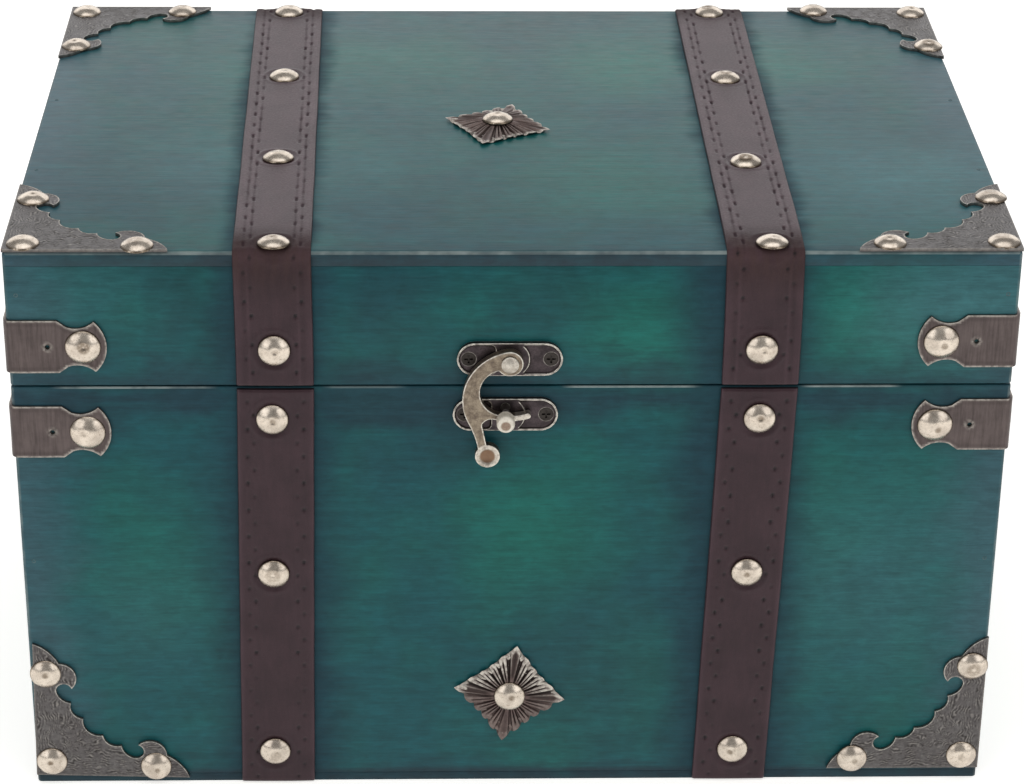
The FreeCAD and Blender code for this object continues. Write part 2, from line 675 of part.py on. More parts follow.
def catch_post():
    """Round-headed post: its neck is through the plate and its head hangs over the claw."""
    behind = HOOK_BACK + HOOK_T + POST_GAP
    neck = Part.makeCylinder(POST_NECK_R, behind)
    head = Part.makeCylinder(POST_HEAD_R, POST_HEAD_T, V(0, POST_HEAD_UP, behind))
    front = [edge for edge in head.Edges if edge.BoundBox.ZMin > behind + POST_HEAD_T / 2]
    head = head.makeFillet(POST_ROUND, front)
    return single(head.fuse(neck))


def latch_plates():
    pivot_hole = Part.makeCylinder(RIVET_R + PIN_CLEAR, LATCH_PLATE_T)
    post_hole = Part.makeCylinder(POST_NECK_R + PILOT_CLEAR, LATCH_PLATE_T, V(0, post_up(), 0))
    return {
        "latch_plate": on(FRONT, latch_plate().cut(pivot_hole), LATCH_X, BASE_HEIGHT + LATCH_ABOVE_SEAM),
        "catch_plate": on(FRONT, latch_plate().cut(post_hole), CATCH_X, BASE_HEIGHT - CATCH_BELOW_SEAM),
    }


def latch_pieces():
    pivot_z = BASE_HEIGHT + LATCH_ABOVE_SEAM
    return {
        "latch_rivet": on(FRONT, latch_rivet(), LATCH_X, pivot_z),
        "latch_hook": on(FRONT, latch_hook(), LATCH_X, pivot_z, HOOK_BACK),
        "catch_post": on(FRONT, catch_post(), CATCH_X, BASE_HEIGHT - CATCH_BELOW_SEAM + post_up()),
    }


# Hinges: in their own frame x runs along the pin, y out of the back and z up from the pin

def hinge_leaf(up):
    """Leaf above (up = 1, middle knuckle) or below (up = -1, end knuckles) the pin, with stop ears."""
    inner = -HINGE_BARREL_R - HINGE_PLAY
    half = HINGE_L / 2
    clear = HINGE_BARREL_R + HINGE_PLAY

    def block(x0, x1, z0, z1):
        low, high = sorted((up * z0, up * z1))
        return Part.makeBox(x1 - x0, HINGE_LEAF_T, high - low, V(x0, inner, low))

    middle = HINGE_MIDDLE / 2
    if up > 0:
        knuckles = [(-middle, middle)]
    else:
        knuckles = [(-half, -middle - HINGE_PLAY), (middle + HINGE_PLAY, half)]
    pieces = [block(x0, x1, 0, clear) for x0, x1 in knuckles]
    pieces += [Part.makeCylinder(HINGE_BARREL_R, x1 - x0, V(x0, 0, 0), X_DIR) for x0, x1 in knuckles]
    pieces += [stop_ear(up, -half - HINGE_EAR_T), stop_ear(up, half)]
    leaf = block(-half - HINGE_EAR_T, half + HINGE_EAR_T, clear, HINGE_LEAF_H).fuse(pieces)
    bore = Part.makeCylinder(HINGE_PIN_R + PIN_CLEAR, HINGE_L, V(-half, 0, 0), X_DIR)
    return single(leaf.cut(bore))


def stop_ear(up, x):
    """Ear bent out from a leaf's end: its edge meets the other leaf's ear when the lid is fully open."""
    inner = -HINGE_BARREL_R - HINGE_PLAY
    lean = HINGE_OPEN / 2
    near = HINGE_BARREL_R + HINGE_PLAY
    gap = HINGE_PLAY / 2

    def edge_point(radius):
        y, z = polar(radius, lean)
        return (x, y - gap * math.sin(math.radians(lean)), up * (z + gap * math.cos(math.radians(lean))))
    points = [(x, inner, up * near), edge_point(near), edge_point(HINGE_EAR_REACH),
              (x, inner, up * HINGE_LEAF_H)]
    return outline(points[-1], points).extrude(V(HINGE_EAR_T, 0, 0))


def hinges():
    made = {}
    length = HINGE_L + 2 * HINGE_PIN_OVER
    pins = []
    for name, x in (("left", -HINGE_X), ("right", HINGE_X)):
        place = V(x, PIN_Y, BASE_HEIGHT)
        for node, up in ((f"hinge_base_leaf_{name}", -1), (f"hinge_lid_leaf_{name}", 1)):
            made[node] = hinge_leaf(up)
            made[node].translate(place)
        pins.append(Part.makeCylinder(HINGE_PIN_R, length, place - V(length / 2, 0, 0), X_DIR))
    return made, pins


def main():
    os.makedirs("parts", exist_ok=True)
    groups, tools = fasteners()
    leaves, groups["hinge_pins"] = hinges()
    for name, shape in {**boards(), **straps(), **pressed_metal(), **latch_plates(), **leaves}.items():
        bored(shape, tools).exportStep(f"parts/{name}.step")
    for name, shape in latch_pieces().items():
        shape.exportStep(f"parts/{name}.step")
    for name, solids in groups.items():
        Part.makeCompound(solids).exportStep(f"parts/{name}.step")


main()
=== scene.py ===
import json
import math
import random

import bmesh
import bpy
from mathutils import Matrix, Vector, noise
from mathutils.kdtree import KDTree


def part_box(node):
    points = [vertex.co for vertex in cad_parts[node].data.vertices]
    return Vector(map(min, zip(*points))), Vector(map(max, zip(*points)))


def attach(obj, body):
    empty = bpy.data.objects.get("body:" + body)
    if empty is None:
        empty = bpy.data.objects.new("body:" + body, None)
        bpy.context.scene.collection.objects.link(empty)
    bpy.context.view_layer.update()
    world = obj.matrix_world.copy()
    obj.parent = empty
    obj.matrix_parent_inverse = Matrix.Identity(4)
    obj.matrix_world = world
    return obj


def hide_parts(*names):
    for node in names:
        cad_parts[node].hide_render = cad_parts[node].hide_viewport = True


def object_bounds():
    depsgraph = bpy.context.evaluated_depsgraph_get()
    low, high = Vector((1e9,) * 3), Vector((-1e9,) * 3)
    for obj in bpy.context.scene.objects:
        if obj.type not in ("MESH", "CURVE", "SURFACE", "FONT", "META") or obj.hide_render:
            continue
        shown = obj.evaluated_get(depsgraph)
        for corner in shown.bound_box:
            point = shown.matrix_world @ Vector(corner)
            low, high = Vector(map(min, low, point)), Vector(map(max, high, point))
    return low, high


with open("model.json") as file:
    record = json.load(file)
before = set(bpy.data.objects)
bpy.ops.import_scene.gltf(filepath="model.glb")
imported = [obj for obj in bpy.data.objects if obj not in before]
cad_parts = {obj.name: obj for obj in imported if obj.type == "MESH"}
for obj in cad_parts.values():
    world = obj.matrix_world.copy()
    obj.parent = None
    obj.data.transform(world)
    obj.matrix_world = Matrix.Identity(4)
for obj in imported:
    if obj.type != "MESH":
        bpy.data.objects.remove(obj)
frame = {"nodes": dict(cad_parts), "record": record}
cad_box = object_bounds()

# Looks of a small trunk-style card box. Metres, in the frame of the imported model.
MM = 0.001

# The photograph's view
CAMERA_AT = Vector((-21.389, -811.75, 484.89)) * MM
CAMERA_PITCH = math.radians(26.801)
CAMERA_YAW = math.radians(1.678)
CAMERA_ROLL = math.radians(0.634)
CAMERA_LENS = 109.47
SENSOR_WIDTH = 36.0

# Boards
EDGE_R = 1.2 * MM
RIM_ARRIS = 0.45 * MM    # the edges that meet at the seam
ARRIS = 0.12 * MM
BRAD_PROUD = 0.06 * MM   # how far a brad's head stands out; those underneath are sunk by it
BRAD_SIDES = 24
BRAD_EASE = 0.12         # its eased edge, crown, flat and punch mark, as shares of its radius
BRAD_CROWN = 0.1
BRAD_FLAT = 0.3
BRAD_PUNCH = 0.25

# Where the stain is rubbed green, is darker or is rubbed pale, in millimetres: x, height (on the top, y),
# reach, strength
GLOWS = ((8, 84, 34, 0.7), (2, 70, 34, 0.25), (96, 144, 42, 1.0), (34, 136, 34, 0.8), (-98, 76, 30, 0.3),
         (96, 92, 36, 0.4), (-30, 132, 24, 0.3))
SHADES = ((-14, 116, 26, 0.7), (-34, 146, 26, 0.5), (20, 38, 44, 0.35), (-84, 153, 26, 0.5),
          (10, 152, 22, 0.35), (-40, 102, 20, 0.3))
PALE_SPOTS = ((-98, 52, 34, 0.26), (100, 62, 52, 0.4), (116, 148, 42, 0.95), (-112, 150, 34, 0.35))
TOP_GLOWS = ((-72, 36, 34, 0.6), (-34, 45, 38, 0.6), (36, 42, 40, 0.9), (78, 45, 34, 0.8),
             (30, -40, 46, 0.5))
TOP_SHADES = ((6, 74, 28, 0.4), (-104, -52, 52, 0.35), (-16, -64, 40, 0.25), (112, -10, 30, 0.25))
TOP_PALE_SPOTS = ((106, -40, 52, 0.8), (-80, -34, 40, 0.45), (-40, -34, 30, 0.3), (60, -34, 26, 0.3))
TOP_EDGE_DARKEST_AT = -20     # x of the place where the top's edge is darkest

# Stretches of the base's front rim with the stain rubbed off, from x to x in millimetres
RIM_RUBS = ((-120, -76), (-50, -27), (12, 50), (74, 102))
RIM_RUB_FADE = 5.0
ROUND_SHARE = 0.586      # share of its radius by which a rounded edge falls short of a sharp corner
ROUND_WEAR = 0.28        # how far from that, in millimetres, its wear begins

# Stain: red, then the green and blue that a board's tones brighten
STAIN_COOL = (0.006, 0.072, 0.083)
STAIN_WARM = (0.006, 0.09, 0.083)
STAIN_GLOW = (0.006, 0.125, 0.098)
STAIN_END = (0.034, 0.092, 0.113)
STAIN_PALE = (0.038, 0.138, 0.148)
STAIN_SHADE = (0.01, 0.038, 0.055)
STAIN_EDGE_DARK = (0.012, 0.032, 0.045, 1)
STAIN_PORE = (0.004, 0.026, 0.032, 1)
# Pale wear on the rim and edges; on the top's rounded edges also a painted highlight
STAIN_WORN = (0.26, 0.31, 0.3, 1)
SIDE_TONES = (0.98, 1.0)
SIDE_SHINE = 0.21
TOP_TONES = (1.1, 1.17)
TOP_SHINE = 0.28
END_REACH = 22.0         # how far the blue-grey goes from a board's end, in millimetres
BRAD_STAINED = (0.02, 0.07, 0.08, 1)
BRAD_RUBBED = (0.07, 0.12, 0.13, 1)

# Bare wood inside, as screen colours, and how far past the inner faces it is looked for, in millimetres
BARE_PALE = (206, 178, 138)
BARE_DARK = (182, 148, 106)
BARE_FIBRE = (150, 116, 80)
INSIDE_MARGIN = 0.3

# Wood grain: scale along the grain beside that across it; and the usual range of a noise
FIBRE_DRAW = 0.1
BRUSH_DRAW = 0.04
MOTTLE_DRAW = 0.45
NOISE_LOW = 0.3
NOISE_HIGH = 0.7

# Straps: positions across are from the centre line
STRAP_HALF = 10.0 * MM
STRAP_T = 1.2 * MM
STRAP_EDGE_R = 0.6 * MM
STRAP_ROW = 0.45 * MM    # spacing of its rows of faces
STRAP_CROWN = 0.12 * MM  # how much its middle stands up
STRAP_RIPPLE = 0.07 * MM
STRAP_SWAY = 0.15 * MM
STRAP_LEAST = 0.12 * MM  # thickness left in its deepest holes
STITCH_ROWS = (7.3 * MM, 5.6 * MM)
RIDGES = (6.45 * MM, 8.7 * MM)   # leather pushed up between the stitch rows and outside them
STITCH_PITCH = 8.0 * MM
STITCH_HALF = 0.8 * MM   # half a slit's length on the lid, where the thread is drawn in
STITCH_SLANT = 0.05
SLOT_R = 0.42 * MM
THREAD_R = 0.3 * MM
SLOT_DEPTH = 0.3 * MM
HOLE_R = 0.55 * MM
HOLE_DEPTH = 0.5 * MM
FOLD_REACH = 7.0 * MM    # how far the wrinkles go from the fold over the lid's edge
FOLD_WRINKLE = 0.16 * MM
FOLD_CRINKLE = 0.12 * MM
FOLD_DRAW = 0.7 * MM     # how much thinner the leather is drawn there
FOLD_DRAW_REACH = 9.0 * MM
HIDE_DARK = (0.022, 0.0095, 0.012, 1)
HIDE_BROWN = (0.032, 0.0148, 0.0184, 1)
HIDE_SPECK = (0.022, 0.01, 0.012, 1)
# Paler worn leather, also painted sheen where the straps run over the top
HIDE_RUBBED_AND_LIT = (0.15, 0.084, 0.104, 1)
# Crease colour by the folds, partly painted shade where the strap bends
HIDE_CREASED_AND_SHADED = (0.042, 0.022, 0.017, 1)
HIDE_GLINT = (1.0, 0.88, 0.95, 1)
THREAD_DARK = (0.024, 0.012, 0.016, 1)
# Painted shade in the needle holes
NEEDLE_SHADE = (0.003, 0.002, 0.002, 1)

# Studs
STUD_R = 4.2 * MM
STUD_LIP = 0.3 * MM
STUD_RISE = 2.0 * MM
STUD_EASE = 0.25 * MM
STUD_DIP = 0.3 * MM      # how deep it is pressed into leather, and the welt round it
STUD_WELT = 0.17 * MM
STUD_KNOCKS = 5
STUD_LEAN = math.radians(3)
STUD_SEED = 7
WRAP_STUD_GROWTH = 1.1   # those on the wraps are wider
STUD_BRIGHT = (0.72, 0.634, 0.54, 1)
STUD_DULL = (0.52, 0.45, 0.38, 1)
STUD_SPECK = (0.3, 0.235, 0.165, 1)
STUD_TARNISH = (0.13, 0.09, 0.055, 1)

# Pressed plates
PLATE_CELL = 0.24 * MM
PLATE_RELIEF = 0.07 * MM
PLATE_RIM = 0.3 * MM
PLATE_RIM_RISE = 0.1 * MM
PLATE_LINE = 0.78        # pitch of its engraved lines, in millimetres
WRAP_CELL = 0.6 * MM
WRAP_T = 0.8 * MM
WRAP_HOLE_IN = 10.3 * MM
WRAP_HOLE_R = 0.7 * MM
WRAP_BURR = 0.25 * MM
WRAP_SWELL = 0.07 * MM
FRONT_PLATE_LIFT = {"left": 2.8 * MM, "right": 3.6 * MM}
FRONT_PLATE_TILT = {"left": math.radians(-1.6), "right": 0.0}
PLATE_METAL = ((0.135, 0.127, 0.125, 1), (0.098, 0.09, 0.09, 1))
WRAP_METAL = ((0.125, 0.1, 0.096, 1), (0.088, 0.07, 0.068, 1))
STAR_METAL = ((0.16, 0.115, 0.105, 1), (0.11, 0.078, 0.073, 1))
EVEN_BRUSH = (0.6, 0.6, 0.6)
UPRIGHT_BRUSH = (1.0, 1.0, 0.07)
# Dark antiquing in the grooves; in the wraps' nail holes it is painted shade
SHEET_GROOVE = (0.02, 0.016, 0.015, 1)
SHEET_WORN = (0.6, 0.56, 0.5, 1)

# Star plates
STAR_R = 15.2 * MM
STAR_LOBES = 20
STAR_RINGS = 20
STAR_STEPS = 20          # vertices round the rim for each leaf
STAR_NOTCH = 0.94
STAR_WAIST = 0.05        # how far its sides draw in between the points
STAR_RISE = 2.2 * MM
STAR_RIM = 0.55 * MM
STAR_FLUTE = 0.672 * MM
STAR_TURN = {"front_star_plate": math.radians(-7.5), "top_star_plate": math.radians(-17.0)}

# Cast latch pieces and hinges
CAST_VOXEL = 0.15 * MM
HINGE_VOXEL = 0.25 * MM
CAST_ROUNDS = 5
HINGE_ROUNDS = 3
BALL_FROM_PIVOT = Vector((-5.7, 0.0, -26.8)) * MM
BALL_DISH_R = 2.3 * MM
POST_HEAD = 3.4 * MM     # length of the catch post's head, past which its neck is painted dark as shadow
POST_DISH_R = 1.5 * MM
POST_DISH_UP = 2.2 * MM
HOOK_BRONZE = ((0.31, 0.255, 0.19, 1), (0.13, 0.1, 0.078, 1))
POST_BRONZE = ((0.74, 0.68, 0.58, 1), (0.56, 0.5, 0.41, 1))
LATCH_PLATE_BRONZE = ((0.074, 0.058, 0.062, 1), (0.036, 0.029, 0.031, 1))
RIVET_METAL = ((0.68, 0.63, 0.55, 1), (0.42, 0.37, 0.31, 1))
# Dirt and painted shade in the latch's hollows, and painted shadow on the catch post's neck
BRONZE_DIRT_AND_SHADE = (0.018, 0.013, 0.011, 1)
BRONZE_PATINA = (0.2, 0.115, 0.07, 1)
BRONZE_WORN = (0.84, 0.79, 0.7, 1)
HINGE_TONE = 0.11
SCREW_TONE = 0.03

# Studio
ROOM_LIGHT = 0.32        # the white room behind the lamps, which is seen at full white
FLOOR_SIZE = 2.1         # it ends under the side lamps, so none of it lies unlit behind them
FLOOR_COLOUR = (0.86, 0.85, 0.83, 1)
FLOOR_GLOW_COLOUR = (1, 0.99, 0.97, 1)
FLOOR_GLOW = 0.59

# Name, place, aim, size and brightness of each lamp
LAMPS = (
    ("left_softbox", (-1.0, -1.05, 0.7), (0, 0, 0.1), (1.0, 1.1), 1.1),
    ("right_softbox", (1.0, -1.05, 0.7), (0, 0, 0.1), (1.0, 1.1), 1.1),
    ("overhead_softbox", (0, -0.35, 1.45), (0, 0, 0.1), (1.6, 1.0), 1.2),
    ("rear_screen", (0, 1.7, 0.95), (0, 0, 0.2), (3.4, 1.5), 1.05),
)

nodes = frame["nodes"]
bodies = frame["record"]["behaviour"]["bodies"]
body_of = {node: body for body, members in bodies.items() for node in members}
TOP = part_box("lid_top_panel")[1]
CENTRE = (cad_box[0] + cad_box[1]) / 2
SEAM = (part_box("base_front_panel")[1].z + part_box("lid_front_panel")[0].z) / 2
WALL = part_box("base_front_panel")[1].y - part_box("base_front_panel")[0].y


def only(piece):
    """Selects one piece and makes it active."""
    bpy.ops.object.select_all(action="DESELECT")
    piece.select_set(True)
    bpy.context.view_layer.objects.active = piece


def started(name):
    """The active piece, under a name of its own."""
    piece = bpy.context.active_object
    piece.name = name
    piece.data.name = name
    return piece


def editing(piece, on):
    """Goes into edit mode on a piece, or back out of it."""
    if on:
        only(piece)
    bpy.ops.object.mode_set(mode="EDIT" if on else "OBJECT")


def pick(piece, kind, test):
    """In edit mode, selects only the vertices, edges or faces that pass a test, and says how many."""
    bpy.ops.mesh.select_mode(type=kind)
    bpy.ops.mesh.select_all(action="DESELECT")
    mesh = bmesh.from_edit_mesh(piece.data)
    parts = {"VERT": mesh.verts, "EDGE": mesh.edges, "FACE": mesh.faces}[kind]
    chosen = [part for part in parts if test(part)]
    for part in chosen:
        part.select_set(True)
    mesh.select_flush_mode()
    bmesh.update_edit_mesh(piece.data)
    return len(chosen)


def stands_for(piece, node, material):
    """The piece takes a node's place, body, slot and finish."""
    piece.data.materials.clear()
    piece.data.materials.append(material)
    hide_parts(node)
    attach(piece, body_of[node])
    return piece


def smooth(piece, degrees):
    only(piece)
    bpy.ops.object.shade_smooth_by_angle(angle=math.radians(degrees))


def painted(piece, **layers):
    """Keeps numbers for each vertex on a piece, for its material to read."""
    for name, values in layers.items():
        layer = piece.data.attributes.new(name, "FLOAT", "POINT")
        layer.data.foreach_set("value", values)


def copied(source, name):
    """A new piece with its own copy of a mesh."""
    piece = bpy.data.objects.new(name, source.data.copy())
    piece.data.name = name
    bpy.context.scene.collection.objects.link(piece)
    return piece


def joined(group, name):
    """One piece of several copies."""
    only(group[0])
    for copy in group[1:]:
        copy.select_set(True)
    if len(group) > 1:
        bpy.ops.object.join()
    return started(name)


def fade(low, high, value):
    """0 at low, 1 at high, smooth between."""
    t = min(max((value - low) / (high - low), 0.0), 1.0)
    return t * t * (3 - 2 * t)


def bump(distance, radius):
    return math.exp(-(distance / radius) ** 2)


# Node materials

def screen(red, green, blue):
    """Linear colour from a screen colour of 0 to 255."""
    def linear(c):
        c /= 255
        return c / 12.92 if c <= 0.04045 else ((c + 0.055) / 1.055) ** 2.4
    return (linear(red), linear(green), linear(blue), 1.0)


class Finish:
    """A material under construction: each call adds a node and gives its output."""

    def __init__(self, name, **settings):
        self.material = bpy.data.materials.new(name)
        self.material.use_nodes = True
        self.tree = self.material.node_tree
        self.shader = self.tree.nodes["Principled BSDF"]
        for key, value in settings.items():
            self.shader.inputs[key.replace("_", " ")].default_value = value

    def add(self, kind, inputs, **settings):
        made = self.tree.nodes.new("ShaderNode" + kind)
        for key, value in settings.items():
            setattr(made, key, value)
        for key, value in inputs.items():
            if isinstance(value, bpy.types.NodeSocket):
                self.tree.links.new(value, made.inputs[key])
            else:
                made.inputs[key].default_value = value
        return made

    def place(self):
        """Object coordinates in millimetres."""
        at = self.add("TexCoord", {}).outputs["Object"]
        return self.add("VectorMath", {0: at, "Scale": 1 / MM}, operation="SCALE").outputs[0]

    def axes(self, place):
        return self.add("SeparateXYZ", {0: place}).outputs

    def stretched(self, place, scale):
        return self.add("VectorMath", {0: place, 1: scale}, operation="MULTIPLY").outputs[0]

    def grain(self, place, scale, detail=3.0, rough=0.55, distort=0.0):
        return self.add("TexNoise", {"Vector": place, "Scale": scale, "Detail": detail, "Roughness": rough,
                                     "Distortion": distort}).outputs["Fac"]

    def cells(self, place, scale, feature):
        made = self.add("TexVoronoi", {"Vector": place, "Scale": scale}, feature=feature)
        return made.outputs["Distance"]

    def attribute(self, name):
        return self.add("Attribute", {}, attribute_name=name).outputs["Fac"]

    def calc(self, operation, first, second=0.0):
        return self.add("Math", {0: first, 1: second}, operation=operation).outputs[0]

    def plus(self, first, second):
        return self.calc("ADD", first, second)

    def times(self, first, second):
        return self.calc("MULTIPLY", first, second)

    def away(self, value, at):
        """How far a coordinate is from a place."""
        return self.calc("ABSOLUTE", self.calc("SUBTRACT", value, at))

    def between(self, value, low, high, to_low=0.0, to_high=1.0):
        return self.add("MapRange", {"Value": value, "From Min": low, "From Max": high, "To Min": to_low,
                                     "To Max": to_high}, interpolation_type="SMOOTHSTEP").outputs["Result"]

    def spread(self, value, to_low=0.0, to_high=1.0):
        """A noise, taken from its usual range to another."""
        return self.between(value, NOISE_LOW, NOISE_HIGH, to_low, to_high)

    def mix(self, share, first, second, blend="MIX"):
        made = self.add("Mix", {0: share, 6: first, 7: second}, data_type="RGBA", blend_type=blend)
        return made.outputs[2]

    def bumped(self, height, strength, distance):
        made = self.add("Bump", {"Height": height, "Strength": strength, "Distance": distance})
        return made.outputs["Normal"]

    def set(self, **inputs):
        for key, value in inputs.items():
            self.tree.links.new(value, self.shader.inputs[key.replace("_", " ")])
        return self.material


def most(f, masks):
    """The strongest of several masks."""
    strongest = masks[0]
    for mask in masks[1:]:
        strongest = f.calc("MAXIMUM", strongest, mask)
    return strongest


def inside_box(f, axes):
    """1 on the bare wood inside the box, 0 on its outside."""
    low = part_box("base_bottom_panel")[1].z / MM - INSIDE_MARGIN
    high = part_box("lid_top_panel")[0].z / MM + INSIDE_MARGIN
    walls = f.times(f.calc("LESS_THAN", f.away(axes[0], 0.0), (TOP.x - WALL) / MM + INSIDE_MARGIN),
                    f.calc("LESS_THAN", f.away(axes[1], 0.0), (TOP.y - WALL) / MM + INSIDE_MARGIN))
    return f.times(walls, f.calc("LESS_THAN", f.away(axes[2], (low + high) / 2), (high - low) / 2))


def worn_edges(f, place, axes):
    """Pale broken lines where the stain is worn off the base's rim and the box's outer edges; on the top's
    rounded front and back edges the pale line is also a painted highlight.
    """
    deep = f.away(axes[1], 0.0)
    wide = f.away(axes[0], 0.0)
    breaks = f.grain(f.stretched(place, (0.05, 0.05, 0.05)), 1.0, 4.0, 0.7)
    rim_sum = (TOP.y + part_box("base_front_panel")[1].z - RIM_ARRIS) / MM
    at_rim = f.times(f.between(f.away(f.plus(deep, axes[2]), rim_sum + 0.12), 0.06, 0.2, 1.0, 0.0),
                     f.calc("LESS_THAN", f.away(axes[2], SEAM / MM), 0.8))
    rubs = []
    for start, end in RIM_RUBS:
        half = (end - start) / 2
        rubs.append(f.between(f.away(axes[0], start + half), half - RIM_RUB_FADE, half, 1.0, 0.0))
    at_rim = f.times(f.times(at_rim, most(f, rubs)), f.between(breaks, 0.4, 0.6, 0.35, 0.9))

    def on_round(first, second, corner_sum, whole_from, faint, strong):
        """Along a rounded edge, where two distances add up to almost their sum at its sharp corner."""
        start = corner_sum / MM - ROUND_SHARE * EDGE_R / MM - ROUND_WEAR
        line = f.between(f.plus(first, second), start, start + 0.2)
        return f.times(line, f.between(breaks, whole_from, 0.65, faint, strong))
    # On the top's rounded front and back edges the pale line is wear and a painted highlight
    crown = on_round(deep, axes[2], TOP.y + TOP.z, 0.4, 0.3, 0.8)
    corner = on_round(deep, wide, TOP.x + TOP.y, 0.45, 0.05, 0.45)
    return most(f, [at_rim, crown, corner])


def stained_wood(name, along, up, ends, levels, straps, spots, tones, dark_edge, shine):
    """Brushed teal stain: green in the middle of a board, dark by the seam, dark beside the straps as glaze
    and painted shadow, blue-grey to its ends.

    along and up are the axes of the board's face; ends and levels are places on them where the board stops.
    straps gives each strap's place, how far its dark reaches and how dark, that dark being partly glaze and
    partly painted shadow; spots are its glows, shades and pale spots; tones brighten green and blue;
    dark_edge is a height where the stain is clean and one where it is darkest; shine is its gloss."""
    f = Finish(name, **{"Specular IOR Level": shine})
    place = f.place()
    axes = f.axes(place)

    def drawn_out(share):
        scale = [1.0, 1.0, 1.0]
        scale[along] = share
        return f.stretched(place, scale)
    fibre_at = drawn_out(FIBRE_DRAW)
    clouds = f.grain(place, 0.022, 3.0, 0.6)
    brush = f.grain(drawn_out(BRUSH_DRAW), 0.4, 3.0, 0.6, 0.3)
    fibre = f.grain(fibre_at, 1.5, 4.0, 0.65, 0.2)
    pores = f.grain(fibre_at, 0.95, 2.0, 0.5)
    mottle = f.grain(drawn_out(MOTTLE_DRAW), 0.4, 4.0, 0.65, 0.4)
    patches = f.grain(place, 0.1, 4.0, 0.6)
    ragged = f.plus(f.spread(brush, -1.2, 1.2), f.spread(f.grain(place, 0.05, 3.0), -3.5, 3.5))

    def paint(red, green, blue):
        return (red, green * tones[0], blue * tones[1], 1)

    def spot(x, high, reach, strength):
        gap = f.plus(f.calc("POWER", f.away(axes[0], x), 2.0), f.calc("POWER", f.away(axes[up], high), 2.0))
        gap = f.plus(f.calc("SQRT", gap), f.times(ragged, 1.2))
        return f.between(gap, 0.0, reach, strength, 0.0)
    glows, dark_spots, pale_spots = spots
    stain = f.mix(f.between(clouds, 0.34, 0.68), paint(*STAIN_COOL), paint(*STAIN_WARM))
    for glow in glows:
        stain = f.mix(spot(*glow), stain, paint(*STAIN_GLOW))
    near_end = [f.between(f.plus(f.away(axes[along], at), ragged), 0.0, END_REACH, 0.9, 0.0) for at in ends]
    stain = f.mix(most(f, near_end), stain, paint(*STAIN_END))
    for pale in pale_spots:
        stain = f.mix(spot(*pale), stain, paint(*STAIN_PALE))
    shades = [spot(*dark) for dark in dark_spots]
    for at, reach, strength in levels:
        shades.append(f.between(f.plus(f.away(axes[up], at), ragged), 1.0, reach, strength, 0.0))
    # Darker stain beside each strap: partly glaze, partly painted shadow of the strap
    soft = f.times(ragged, 0.4)
    by_straps = [f.between(f.plus(f.away(axes[0], at), soft), 8.0, reach, strength, 0.0)
                 for at, reach, strength in straps]
    stain = f.mix(most(f, shades + by_straps), stain, paint(*STAIN_SHADE))
    darkened_edge = f.times(f.between(axes[2], *dark_edge), f.between(patches, 0.35, 0.65, 1.0, 0.75))
    if up == 1:
        darkened_edge = f.times(darkened_edge, f.between(f.away(axes[0], TOP_EDGE_DARKEST_AT), 60.0, 130.0, 1.0, 0.3))
    stain = f.mix(darkened_edge, stain, STAIN_EDGE_DARK)
    for streaks, dark, bright in ((patches, 0.92, 1.08), (mottle, 0.9, 1.11), (brush, 0.92, 1.08)):
        stain = f.mix(1.0, stain, f.spread(streaks, dark, bright), "MULTIPLY")
    stain = f.mix(1.0, stain, f.between(fibre, 0.3, 0.72, 0.89, 1.11), "MULTIPLY")
    stain = f.mix(f.between(pores, 0.64, 0.76, 0.0, 0.22), stain, STAIN_PORE)
    stain = f.mix(worn_edges(f, place, axes), stain, STAIN_WORN)
    bare = f.mix(f.spread(brush), screen(*BARE_PALE), screen(*BARE_DARK))
    bare = f.mix(f.between(fibre, 0.5, 0.8, 0.0, 0.35), bare, screen(*BARE_FIBRE))
    relief = f.plus(f.times(fibre, 0.7), f.times(brush, 0.8))
    rough = f.between(fibre, 0.3, 0.75, 0.36, 0.5)
    if straps:
        rough = f.plus(rough, f.times(most(f, by_straps), 0.3))
    return f.set(Base_Color=f.mix(inside_box(f, axes), stain, bare), Roughness=rough,
                 Normal=f.bumped(relief, 0.16, 0.4 * MM))


